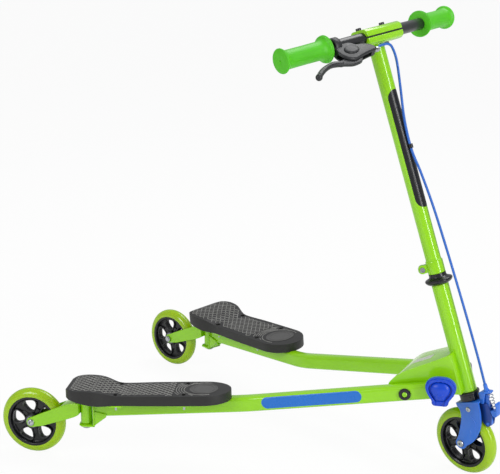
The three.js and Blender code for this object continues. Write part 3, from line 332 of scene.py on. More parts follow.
def stadium(length: float, width: float, steps: int = 10) -> list[Vector]:
    """Outline of a slot with round ends that lies along Y."""
    reach = (length - width) / 2
    return [*arc(width / 2, 0, 180, steps, (0, reach)), *arc(width / 2, 180, 360, steps, (0, -reach))]


def rounded_box(half_x: float, half_y: float, corner: float, steps: int = 5) -> list[Vector]:
    """Outline of a rectangle with round corners."""
    x, y = half_x - corner, half_y - corner
    centres = ((x, y), (-x, y), (-x, -y), (x, -y))
    return [p for i, c in enumerate(centres) for p in arc(corner, 90 * i, 90 * (i + 1), steps, c)]


def basis(x: Vector, y: Vector, z: Vector, origin: Vector) -> Matrix:
    """Frame whose axes are the three given directions."""
    frame = Matrix((x, y, z)).transposed().to_4x4()
    frame.translation = origin
    return frame


def turn(angle: float, axis: str = "Z") -> Matrix:
    """Frame that only turns, by degrees about an axis."""
    return Matrix.Rotation(math.radians(angle), 4, axis)


def shift(x: float = 0.0, y: float = 0.0, z: float = 0.0) -> Matrix:
    """Frame that only moves."""
    return Matrix.Translation((x, y, z))


SIDEWAYS = turn(90, "X")
ALONG_X = turn(90, "Y")


# The workbench.


class Workpiece:
    """A mesh on the bench, in millimetres about its own frame."""

    def __init__(self, obj: bpy.types.Object) -> None:
        """Takes hold of a mesh object."""
        self.obj = obj

    @staticmethod
    def pick(*objects: bpy.types.Object) -> None:
        """Selects these objects and nothing else.

        Args:
            *objects: Objects to select; the first becomes the active one.
        """
        bpy.ops.object.select_all(action="DESELECT")
        for obj in objects:
            obj.select_set(True)
        if objects:
            bpy.context.view_layer.objects.active = objects[0]

    @contextmanager
    def editing(self) -> Iterator[None]:
        """Opens the mesh with everything selected, and closes it again."""
        self.pick(self.obj)
        bpy.ops.object.mode_set(mode="EDIT")
        bpy.ops.mesh.select_all(action="SELECT")
        yield
        bpy.ops.object.mode_set(mode="OBJECT")

    @classmethod
    def line(cls, points: Sequence[Vector]) -> Workpiece:
        """Draws a line by extruding one corner from point to point.

        Args:
            points: Places that the line runs through.

        Returns:
            The new piece.
        """
        cls.pick()
        bpy.ops.mesh.primitive_plane_add(size=1.0)
        piece = cls(bpy.context.object)
        with piece.editing():
            bpy.ops.mesh.merge(type="CENTER")
            bpy.ops.transform.translate(value=points[0])
            for start, end in zip(points, points[1:]):
                bpy.ops.mesh.extrude_region_move(TRANSFORM_OT_translate={"value": end - start})
        return piece

    @classmethod
    def sheet(cls, outline: Outline, height: float = 0.0) -> Workpiece:
        """Flat face with the given outline.

        Args:
            outline: Corners of the face, in order.
            height: Height that it lies at.

        Returns:
            The new piece.
        """
        piece = cls.line([Vector((p[0], p[1], height)) for p in outline])
        with piece.editing():
            bpy.ops.mesh.edge_face_add()
        return piece

    @classmethod
    def plate(cls, outline: Outline, low: float, high: float) -> Workpiece:
        """Flat outline raised along Z from one height to another.

        Args:
            outline: Corners of the face, in order.
            low: Lower end.
            high: Upper end.

        Returns:
            The new piece.
        """
        piece = cls.sheet(outline, low)
        with piece.editing():
            bpy.ops.mesh.extrude_region_move(TRANSFORM_OT_translate={"value": (0, 0, high - low)})
            bpy.ops.mesh.select_all(action="SELECT")
            bpy.ops.mesh.normals_make_consistent(inside=False)
        return piece

    @classmethod
    def slab(cls, outline: Outline, low: float, high: float) -> Workpiece:
        """Outline in X and Z raised along Y from one side to the other."""
        return cls.plate(outline, -high, -low).moved(SIDEWAYS)

    @classmethod
    def turned(cls, profile: Outline, steps: int = 64) -> Workpiece:
        """Spins a closed profile of radius and height about Z.

        Args:
            profile: Radius and height of each corner.
            steps: Number of stretches round it.

        Returns:
            The new piece.
        """
        corners = [Vector((p[0], 0.0, p[1])) for p in profile]
        piece = cls.line([*corners, corners[0]])
        with piece.editing():
            bpy.ops.mesh.spin(steps=steps, angle=2 * math.pi, center=ORIGIN, axis=UP)
            bpy.ops.mesh.select_all(action="SELECT")
            bpy.ops.mesh.remove_doubles(threshold=WELD)
            bpy.ops.mesh.dissolve_degenerate(threshold=WELD)
            bpy.ops.mesh.select_all(action="SELECT")
            bpy.ops.mesh.normals_make_consistent(inside=False)
        return piece

    @classmethod
    def pipe(cls, bore: float, radius: float, low: float, high: float, steps: int) -> Workpiece:
        """Round pipe along Z whose outer edges are broken."""
        edge = 0.5
        return cls.turned([(bore, low), (radius - edge, low), (radius, low + edge), (radius, high - edge),
                           (radius - edge, high), (bore, high)], steps)

    @classmethod
    def rod(cls, radius: float, low: float, high: float, sides: int = 32) -> Workpiece:
        """Round bar along Z.

        Args:
            radius: Radius of the piece.
            low: Lower end.
            high: Upper end.
            sides: Number of flat sides.

        Returns:
            The new piece.
        """
        cls.pick()
        bpy.ops.mesh.primitive_cylinder_add(
            vertices=sides, radius=radius, depth=high - low, location=(0, 0, (low + high) / 2))
        return cls(bpy.context.object).settled()

    @classmethod
    def block(cls, x: Point, y: Point, z: Point) -> Workpiece:
        """Rectangular body between two limits on each axis.

        Args:
            x: Limits along X.
            y: Limits along Y.
            z: Limits along Z.

        Returns:
            The new piece.
        """
        cls.pick()
        bpy.ops.mesh.primitive_cube_add(size=1.0, location=[(a + b) / 2 for a, b in (x, y, z)])
        piece = cls(bpy.context.object)
        piece.obj.scale = [b - a for a, b in (x, y, z)]
        return piece.settled()

    @classmethod
    def ball(cls, radius: float, centre: Point, segments: int = 32) -> Workpiece:
        """Round ball at a place.

        Args:
            radius: Radius of the piece.
            centre: Middle of the ball.
            segments: Number of stretches round it.

        Returns:
            The new piece.
        """
        cls.pick()
        bpy.ops.mesh.primitive_uv_sphere_add(
            segments=segments, ring_count=segments // 2, radius=radius, location=centre)
        return cls(bpy.context.object).settled()

    @classmethod
    def cross_head(cls, profile: Outline, arm: float, half: float, floor: float, steps: int) -> Workpiece:
        """Turned head of a screw, with a cross cut into it."""
        blade = cls.block((-arm, arm), (-half, half), (floor, floor + 3))
        return cls.turned(profile, steps).cut(blade.copied().moved(turn(90)), blade)

    @classmethod
    def swept(cls, path: Sequence[Vector], section: Sequence[Vector]) -> Workpiece:
        """Carries a closed section, across and up, along a path that keeps it upright.

        Args:
            path: Points of the path.
            section: Corners of the section.

        Returns:
            The new piece.
        """
        outline = cls.line([*section, section[0]]).welded()
        outline.as_curve()
        spine = cls.line(path)
        curve = spine.as_curve()
        curve.twist_mode = "Z_UP"
        curve.bevel_mode = "OBJECT"
        curve.bevel_object = outline.obj
        spine.as_mesh()
        outline.scrap()
        return spine

    @classmethod
    def tube(cls, path: Sequence[Vector], radius: float, resolution: int = 5) -> Workpiece:
        """Round bar bent along a path.

        Args:
            path: Points of the path.
            radius: Radius of the piece.
            resolution: Fineness of the section.

        Returns:
            The new piece.
        """
        spine = cls.line(path)
        curve = spine.as_curve()
        curve.bevel_depth = radius
        curve.bevel_resolution = resolution
        return spine.as_mesh()

    def as_curve(self) -> bpy.types.Curve:
        """Turns a line into a curve whose body has closed ends.

        Returns:
            The curve.
        """
        self.pick(self.obj)
        bpy.ops.object.convert(target="CURVE")
        self.obj = bpy.context.object
        self.obj.data.dimensions = "3D"
        self.obj.data.use_fill_caps = True
        return self.obj.data

    def as_mesh(self) -> Workpiece:
        """Turns a curve into the mesh of its body, with the faces outwards.

        Returns:
            The new piece.
        """
        self.pick(self.obj)
        bpy.ops.object.convert(target="MESH")
        self.obj = bpy.context.object
        return self.welded().closed()

    def welded(self) -> Workpiece:
        """Merges doubled corners."""
        with self.editing():
            bpy.ops.mesh.remove_doubles(threshold=WELD)
        return self

    def closed(self) -> Workpiece:
        """Turns the faces outwards."""
        with self.editing():
            bpy.ops.mesh.normals_make_consistent(inside=False)
        return self

    def settled(self) -> Workpiece:
        """Puts the object's place and size into its mesh."""
        self.pick(self.obj)
        bpy.ops.object.transform_apply(location=True, rotation=True, scale=True)
        return self

    def scrap(self) -> None:
        """Throws the piece away."""
        bpy.data.objects.remove(self.obj)

    def copied(self) -> Workpiece:
        """Another piece with a mesh of its own."""
        self.pick(self.obj)
        bpy.ops.object.duplicate(linked=False)
        return Workpiece(bpy.context.object)

    def moved(self, frame: Matrix) -> Workpiece:
        """Sets the piece into a frame, with its faces still outwards.

        Args:
            frame: Frame to set it into.

        Returns:
            The piece itself.
        """
        self.obj.data.transform(frame)
        if frame.determinant() < 0:
            self.obj.data.flip_normals()
        self.obj.data.update()
        return self

    def patterned(self, frames: Sequence[Matrix]) -> Workpiece:
        """Repeats the piece at each frame and joins the copies."""
        copies = [self.copied().moved(frame) for frame in frames]
        self.scrap()
        return copies[0].joined(*copies[1:])

    def joined(self, *others: Workpiece) -> Workpiece:
        """Makes one object of several without changing their shapes.

        Args:
            *others: Pieces to join to it.

        Returns:
            The piece itself.
        """
        self.pick(self.obj, *(other.obj for other in others))
        bpy.ops.object.join()
        self.obj = bpy.context.object
        return self

    def applied(self, kind: str, **settings: object) -> Workpiece:
        """Adds a modifier, gives it its settings and applies it.

        Args:
            kind: Blender's type name of the modifier.
            **settings: Its properties.

        Returns:
            The piece itself.
        """
        self.pick(self.obj)
        modifier = self.obj.modifiers.new(kind.lower(), kind)
        for name, value in settings.items():
            setattr(modifier, name, value)
        bpy.ops.object.modifier_apply(modifier=modifier.name)
        return self

    def worked(self, operation: str, *tools: Workpiece) -> Workpiece:
        """Cuts, joins or trims the piece with others, which are used up.

        Args:
            operation: Blender's name of the operation.
            *tools: Pieces to work it with, in order.

        Returns:
            The piece itself.
        """
        for tool in tools:
            self.applied("BOOLEAN", object=tool.obj, operation=operation, solver="EXACT")
            tool.scrap()
        return self

    def cut(self, *tools: Workpiece) -> Workpiece:
        """Takes the tools' shapes out of the piece."""
        return self.worked("DIFFERENCE", *tools)

    def rounded(self, width: float, segments: int = 3, angle: float = 30.0) -> Workpiece:
        """Rounds every edge that is sharper than an angle."""
        return self.applied(
            "BEVEL", width=width, segments=segments, limit_method="ANGLE", angle_limit=math.radians(angle),
            use_clamp_overlap=True, miter_outer="MITER_ARC")

    def sliced(self, normal: Point, stops: Sequence[float]) -> Workpiece:
        """Cuts edges into the piece across a direction, so that it can bend there.

        Args:
            normal: Direction that the cuts lie across.
            stops: Distances of the cuts along it.

        Returns:
            The piece itself.
        """
        with self.editing():
            for stop in stops:
                bpy.ops.mesh.select_all(action="SELECT")
                bpy.ops.mesh.bisect(plane_co=stop * Vector(normal), plane_no=normal)
        return self

    def reshaped(self, move: Callable[[Vector], Vector]) -> Workpiece:
        """Moves each corner to where a rule puts it.

        Args:
            move: Rule from a corner's old place to its new one.

        Returns:
            The piece itself.
        """
        for corner in self.obj.data.vertices:
            corner.co = move(corner.co.copy())
        self.obj.data.update()
        return self

    def installed(
        self, name: str, frame: Matrix, body: str, finish: Finish, *nodes: str, slot: str = "",
        crease: float = CREASE,
    ) -> Workpiece:
        """Sets the finished piece into the model.

        Args:
            name: Name of the piece.
            frame: Place of the piece's own frame, in millimetres.
            body: Body of the model that carries it.
            finish: Its material.
            *nodes: Nodes of the model that it stands for.
            slot: Material slot of the record, where it isn't the finish's own; not used.
            crease: Angle in degrees past which an edge stays sharp.

        Returns:
            The piece itself.
        """
        self.moved(Matrix.Scale(MM, 4) @ frame)
        self.obj.name = self.obj.data.name = name
        self.obj.data.materials.clear()
        self.obj.data.materials.append(finish.material())
        self.pick(self.obj)
        bpy.ops.object.shade_smooth_by_angle(angle=math.radians(crease))
        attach(self.obj, body)
        if nodes:
            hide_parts(*nodes)
        LOG.info("%s rides on %s with %d faces", name, body, len(self.obj.data.polygons))
        return self

    def installed_pair(
        self, name: str, frame: Matrix, body: str, finish: Finish, *nodes: str, slot: str = "",
        crease: float = CREASE,
    ) -> None:
        """Sets the piece on the rider's right and its mirror image on the left.

        Names of bodies and nodes stand without their side.

        Args:
            name: Name of the piece without its side.
            frame: Place of the right piece, in millimetres.
            body: Body that carries it, without its side.
            finish: Its material.
            *nodes: Nodes that it stands for, without their side.
            slot: Material slot, where it isn't the finish's own.
            crease: Angle in degrees past which an edge stays sharp.
        """
        for side, piece in zip(Side, (self, self.copied())):
            word = side.value
            piece.installed(
                f"{word}_{name}", side.frame @ frame, body if body == "frame" else f"{word}_{body}", finish,
                *(f"{word}_{node}" for node in nodes), slot=slot, crease=crease)


@dataclass(frozen=True)
class Bolt:
    """Bolt along Z: a turned head above what it clamps, a hexagon nut below and the shank between."""

    # Radius and height over the seat of each corner of the head.
    head: Table
    shank: float
    # Radius and height of the nut, and how far the shank stands out of it.
    nut: tuple[float, float]
    tail: float
    # Radius and lower end of the hexagon socket in the head.
    socket: tuple[float, float] = (0.0, 0.0)
    overlap: float = 0.5
    nut_edge: float = 0.4
    head_steps: int = 32
    shank_sides: int = 20

    def between(self, top: float, bottom: float) -> Workpiece:
        """Bolt whose head sits at one height and whose nut hangs from another.

        Args:
            top: Height of the head's seat.
            bottom: Height of the nut's seat.

        Returns:
            The new piece.
        """
        head = Workpiece.turned([(0, top), *((r, top + z) for r, z in self.head)], self.head_steps)
        width, depth = self.socket
        if width:
            head.cut(Workpiece.plate(ring(width, 6), top + depth, top + 6))
        radius, height = self.nut
        nut = Workpiece.plate(ring(radius, 6), bottom - height, bottom).rounded(self.nut_edge, 2)
        end = bottom - height - self.tail
        return head.joined(Workpiece.rod(self.shank, end, top + self.overlap, self.shank_sides), nut)


AXLE_BOLT = Bolt(
    ((6.4, 0), (6.4, 1.2), (5.9, 2.2), (4.6, 2.9), (3.8, 3.1), (0, 3.1)), 3.9, (6.6, 4.0), 1.5, (2.9, 1.1),
    overlap=0.4, nut_edge=0.5, head_steps=48, shank_sides=32)
KING_PIN = Bolt(
    ((9.6, 0), (9.6, 2.6), (8.8, 3.6), (7.0, 4.4), (0, 4.4)), 6.0, (9.0, 5.0), 1.2, overlap=0.0, nut_edge=0.6,
    head_steps=40, shank_sides=32)
FOLD_BOLT = Bolt(
    ((9.8, 0), (10.2, 0.5), (10.2, 2.4), (9.3, 3.6), (7.6, 4.0), (5.4, 3.8), (4.9, 2.4), (0, 2.4)), 4.0,
    (7.2, 4.4), 1.1, overlap=1.0, nut_edge=0.5, head_steps=56, shank_sides=32)
PINCH_BOLT = Bolt(((4.6, 0), (4.6, 2.4), (4.0, 3.0), (0, 3.0)), 2.5, (5.0, 3.6), 1.0, (2.2, 1.2))
CLAMP_SCREW = Bolt(((4.6, 0), (4.6, 3.2), (4.1, 4.2), (2.6, 4.2), (0, 4.2)), 2.6, (4.8, 3.8), 1.2, (2.3, 1.6))


# Places in the model.


class Layout:
    """Frames of the sub-assemblies, in millimetres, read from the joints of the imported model."""

    def __init__(self, frame: dict) -> None:
        """Keeps the joints and mounts by name."""
        self.joints = {joint["name"]: joint for joint in frame["joints"]}
        self.mounts = {mount["name"]: mount for mount in frame["record"]["mounts"]}

    def axis(self, joint: str) -> Vector:
        """Direction of a joint's axis."""
        return Vector(self.joints[joint]["axis"]).normalized()

    def point(self, joint: str) -> Vector:
        """Point on a joint's axis."""
        return Vector(self.joints[joint]["pos_m"]) / MM

    def _column(self, side: Vector) -> Matrix:
        """Frame whose Z runs up the steering axis and whose Y points to a side."""
        up = self.axis("steering_turn")
        return basis(side.cross(up), side, up, self.point("steering_turn") - 200 * up)

    def _outward(self, joint: str, sign: int, back: float = 0.0) -> Matrix:
        """Frame whose Z points outward on a joint's axis and whose Y points up."""
        outward = self.axis(joint) * sign
        return basis(UP.cross(outward), UP, outward, self.point(joint) - back * outward)

    def steering(self) -> Matrix:
        """Frame of the turned steering: Z up its axis and X forward."""
        return self._column(self.axis("front_wheel_spin"))

    def head(self) -> Matrix:
        """Frame of the head tube, which doesn't turn."""
        return self._column(Vector((0, 1, 0)))

    def bench_x(self) -> float:
        """Forward distance at which the drawing's own zero lies, under the unturned front axle."""
        return self.head().translation.x - 35.2

    def front_wheel(self) -> Matrix:
        """Frame of the front wheel: X forward, Y up the steering axis and Z towards the rider's right."""
        side, up = self.axis("front_wheel_spin"), self.axis("steering_turn")
        return basis(side.cross(up), up, -side, self.point("front_wheel_spin"))

    def rear_wheel(self) -> Matrix:
        """Frame of the right rear wheel."""
        return self._outward("right_wheel_spin", -1)

    def fold(self) -> Matrix:
        """Frame of the right fold bolt."""
        return self._outward("right_leg_fold", -1)

    def stud(self) -> Matrix:
        """Frame of the right clamping stud, turned as the fold bolt is."""
        return self._outward("right_knob_turn", 1, 20)

    def caster(self) -> Matrix:
        """Frame of the right caster: X from its pivot to its wheel and Z up.

        Returns:
            The caster's frame.
        """
        pivot = self.point("right_caster_swivel")
        away = self.point("right_wheel_spin") - pivot
        away.z = pivot.z = 0.0
        away.normalize()
        return basis(away, UP.cross(away), UP, pivot)

    def lever(self) -> Matrix:
        """Frame of the brake lever: X outboard from the bar's middle and Y away from the bar.

        Returns:
            The lever's frame.
        """
        axis = -self.axis("hand_lever_squeeze")
        along_bar = Vector((-math.sin(HandleBar.bend), -math.cos(HandleBar.bend), 0))
        outboard = (self.steering().to_3x3() @ along_bar).normalized()
        away = axis.cross(outboard)
        pivot = self.point("hand_lever_squeeze")
        return basis(outboard, away, axis, pivot - BrakeHandle.along * outboard - BrakeHandle.away * away)


@dataclass
class LegLine:
    """Centre line of the right leg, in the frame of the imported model."""

    bend: Vector = field(default_factory=lambda: Vector((-1.366, -119.3, 109.05)))
    front_splay: float = math.radians(11.9)
    front_pitch: float = math.radians(10.1)
    rear_pitch: float = math.radians(3.5)
    front_end: float = 343.334
    bend_radius: float = 95.0
    bend_steps: int = 14

    def front_way(self) -> Vector:
        """Direction from the bend forward and up to the fold."""
        pitch, splay = self.front_pitch, self.front_splay
        return Vector((math.cos(splay) * math.cos(pitch), math.sin(splay) * math.cos(pitch), math.sin(pitch)))

    def outward(self) -> Vector:
        """Direction out of the front part's outer face."""
        return self.front_way().cross(UP).normalized()

    def rear_plan(self, pivot: Vector) -> Vector:
        """Level direction from the bend back to the caster pivot."""
        away = pivot - self.bend
        away.z = 0.0
        return away.normalized()

    def path(self, pivot: Vector, short_of_pivot: float, extra: float = 0.0) -> list[Vector]:
        """Points from the front end round the bend to the caster bracket.

        Args:
            pivot: Point of the caster's swivel.
            short_of_pivot: Level distance at which the line stops before the swivel.
            extra: Length added at both ends.

        Returns:
            Points of the line.
        """
        front = self.front_way()
        rear = self.rear_plan(pivot) * math.cos(self.rear_pitch) - UP * math.sin(self.rear_pitch)
        reach = math.hypot(pivot.x - self.bend.x, pivot.y - self.bend.y) - short_of_pivot
        start = self.bend + front * ((self.front_end - self.bend.x) / front.x + extra)
        end = self.bend + rear * (reach / math.cos(self.rear_pitch) + extra)
        cut_back = self.bend_radius * math.tan((-front).angle(rear) / 2) * 2
        shares = [i / self.bend_steps for i in range(self.bend_steps + 1)]
        round_bend = [self.bend + front * cut_back * (1 - s) ** 2 + rear * cut_back * s**2 for s in shares]
        return [start, *round_bend, end]


# Wheels.


@dataclass
class Wheel:
    """Cast polyurethane wheel on a nylon hub, whose Y-shaped spokes part five rimmed openings."""

    radius: float = 59.7
    half_width: float = 11.5
    crown: float = 12.0
    rim: float = 46.0
    rim_inner: float = 40.8
    rim_half: float = 11.2
    web_half: float = 3.0
    rib_half: float = 6.6
    rib_width: float = 2.2
    boss: float = 14.2
    seat: float = 11.15
    bearing: float = 11.0
    bore: float = 4.3
    shoulder: float = 4.2
    spokes: int = 5
    spoke_end: float = 25.0
    spoke_half: float = 3.6
    # Half of an opening's edge, out from the hub along its middle line.
    opening: Table = (
        (15.8, 0.0), (17.2, 4.0), (21.8, 8.2), (28.0, 11.6), (33.6, 12.2), (37.4, 8.6), (38.6, 0.0))
    # Degrees that the spokes stand turned by in the photograph.
    rear_turn: float = 28.6
    front_turn: float = 6.3
    # Distance of each axle bolt's head and nut from the wheel's middle.
    rear_axle_face: float = 15.45
    front_axle_face: float = 16.35

    def tyre(self) -> Workpiece:
        """Tyre with a round crown that is cast on the rim."""
        inner, middle = self.rim + 0.15, self.radius - self.crown
        outline = [(middle + self.crown * p.x, self.half_width * p.y) for p in arc(1, -90, 90, 30)]
        return Workpiece.turned([(inner, -self.rim_half), *outline, (inner, self.rim_half)], 128)

    def around_opening(self, width: float) -> list[Vector]:
        """Edge of an opening, grown by a width.

        Args:
            width: Distance to grow it by.

        Returns:
            Points of the edge.
        """
        mirror = [(x, -y) for x, y in reversed(self.opening[1:-1])]
        curve = smooth([*self.opening, *mirror], 4, closed=True)
        grown = []
        for before, here, after in zip([curve[-1], *curve], curve, [*curve[1:], curve[0]]):
            along = (after - before).normalized()
            grown.append(here + Vector((-along.y, along.x, 0.0)) * width)
        return grown

    def disc(self) -> Workpiece:
        """Turned body of the hub: boss, thin web and rim ring.

        Returns:
            The new piece.
        """
        lip, inner = self.rim_half, self.rim_inner
        half = [(self.rim, lip), (inner + 1.8, lip), (inner + 0.8, lip - 0.9), (inner, self.web_half + 1.2),
                (inner - 1.4, self.web_half), (self.boss + 1.0, self.web_half), (self.boss, lip - 0.8),
                (self.boss - 0.8, lip), (self.seat, lip), (self.seat, self.shoulder),
                (self.seat - 2, self.shoulder)]
        return Workpiece.turned([*half, *((r, -z) for r, z in reversed(half))], 96)

    def hub(self) -> Workpiece:
        """Hub with a raised rim round each opening and a raised root between each two.

        Returns:
            The hub as one piece.
        """
        turns = [turn(360 * i / self.spokes) for i in range(self.spokes)]
        openings = Workpiece.plate(self.around_opening(0.0), -14, 14).patterned(turns)
        rims = Workpiece.plate(self.around_opening(self.rib_width), -self.rib_half, self.rib_half)
        rims = rims.rounded(0.7, 3, 40).patterned(turns).cut(openings.copied())
        half, low = self.spoke_half, self.rib_half - 0.6
        root = Workpiece.block((self.boss - 1.6, self.spoke_end), (-half, half), (-low, low)).rounded(1.2, 3)
        roots = root.moved(turn(180 / self.spokes)).patterned(turns).cut(openings.copied())
        return self.disc().cut(openings).rounded(0.5, 2, 50).joined(rims, roots)

    def bearing_ring(self, side: int) -> Workpiece:
        """Ball bearing with its two races and the shield sunk between them.

        Args:
            side: 1 for the one side and -1 for the other.

        Returns:
            The new piece.
        """
        inner, outer = side * self.shoulder, side * self.rim_half
        sunk, bore, edge = outer - side * 0.5, self.bore, self.bearing
        profile = [(bore, inner), (edge, inner), (edge, outer), (edge - 1.5, outer), (edge - 1.7, sunk),
                   (bore + 2.2, sunk), (bore + 2.0, outer), (bore, outer)]
        return Workpiece.turned(profile, 48)

    def build(self, layout: Layout) -> None:
        """Makes the three wheels with their axle bolts.

        Args:
            layout: Frames of the sub-assemblies.
        """
        axles = layout.rear_wheel(), layout.front_wheel()
        rear, front = axles[0] @ turn(self.rear_turn), axles[1] @ turn(self.front_turn)
        self.tyre().installed_pair("cast_tyre", rear, "wheel", LIME_POLYURETHANE, "tyre", crease=50)
        self.hub().installed_pair("spoked_hub", rear, "wheel", BLACK_NYLON, "hub", slot="hub_plastic")
        self.tyre().installed(
            "front_cast_tyre", front, "front_wheel", LIME_POLYURETHANE, "front_tyre", crease=50)
        self.hub().installed(
            "front_spoked_hub", front, "front_wheel", BLACK_NYLON, "front_hub", slot="hub_plastic")
        for side, word, rear_node in ((1, "outer", "bearing_inner"), (-1, "inner", "bearing_outer")):
            name = f"ball_bearing_{word}"
            self.bearing_ring(side).installed_pair(name, rear, "wheel", DARK_STEEL, rear_node)
            self.bearing_ring(side).installed(
                f"front_{name}", front, "front_wheel", DARK_STEEL, f"front_bearing_{word}")
        bolts = [AXLE_BOLT.between(face, -face) for face in (self.rear_axle_face, self.front_axle_face)]
        bolts[0].installed_pair("axle_bolt", axles[0], "caster", BRIGHT_ZINC, "rear_axle")
        bolts[1].installed("front_axle_bolt", axles[1], "steering", BRIGHT_ZINC, "front_axle")


# Caster legs.


@dataclass
class CasterYoke:
    """Pressed steel channel that holds a rear wheel on one pair of arms."""

    axle: tuple[float, float] = (100.4, 60.0)
    axle_bore: float = 4.2
    nose: float = 9.0
    plate: float = 2.5
    inner_half: float = 12.8
    # Bore, radius, lower and upper end of the sleeve round the king pin.
    sleeve: tuple[float, float, float, float] = (6.4, 10.2, 66.0, 105.0)
    roof: Table = (
        (98.0, 70.6), (80.0, 79.6), (60.0, 88.6), (43.0, 96.2), (30.0, 101.6), (20.0, 104.2), (9.6, 104.4))
    floor: Table = ((9.6, 83.6), (16.0, 79.4), (30.0, 73.4), (60.0, 62.4), (84.0, 53.6))
    hollow: Table = (
        (12.1, 40), (12.1, 101.8), (20, 101.6), (30, 99), (43, 93.6), (43, 130), (130, 130), (130, 40))

    def build(self, layout: Layout) -> None:
        """Makes both yokes with their welded sleeves.

        Args:
            layout: Frames of the sub-assemblies.
        """
        half = self.inner_half + self.plate
        nose = arc(self.nose, -108, 62, 18, self.axle)
        outline = [*nose, *smooth(self.roof, 4)[1:], *smooth(self.floor, 4)[:-1]]
        body = Workpiece.slab(outline, -half, half).rounded(1.8, 4, 40)
        body.cut(Workpiece.slab(self.hollow, -self.inner_half, self.inner_half))
        body.cut(Workpiece.slab(ring(self.axle_bore, 24, self.axle), -THROUGH, THROUGH))
        body.joined(Workpiece.pipe(*self.sleeve, 48))
        body.installed_pair("caster_yoke", layout.caster(), "caster", GREEN_POWDER_COAT, "yoke")


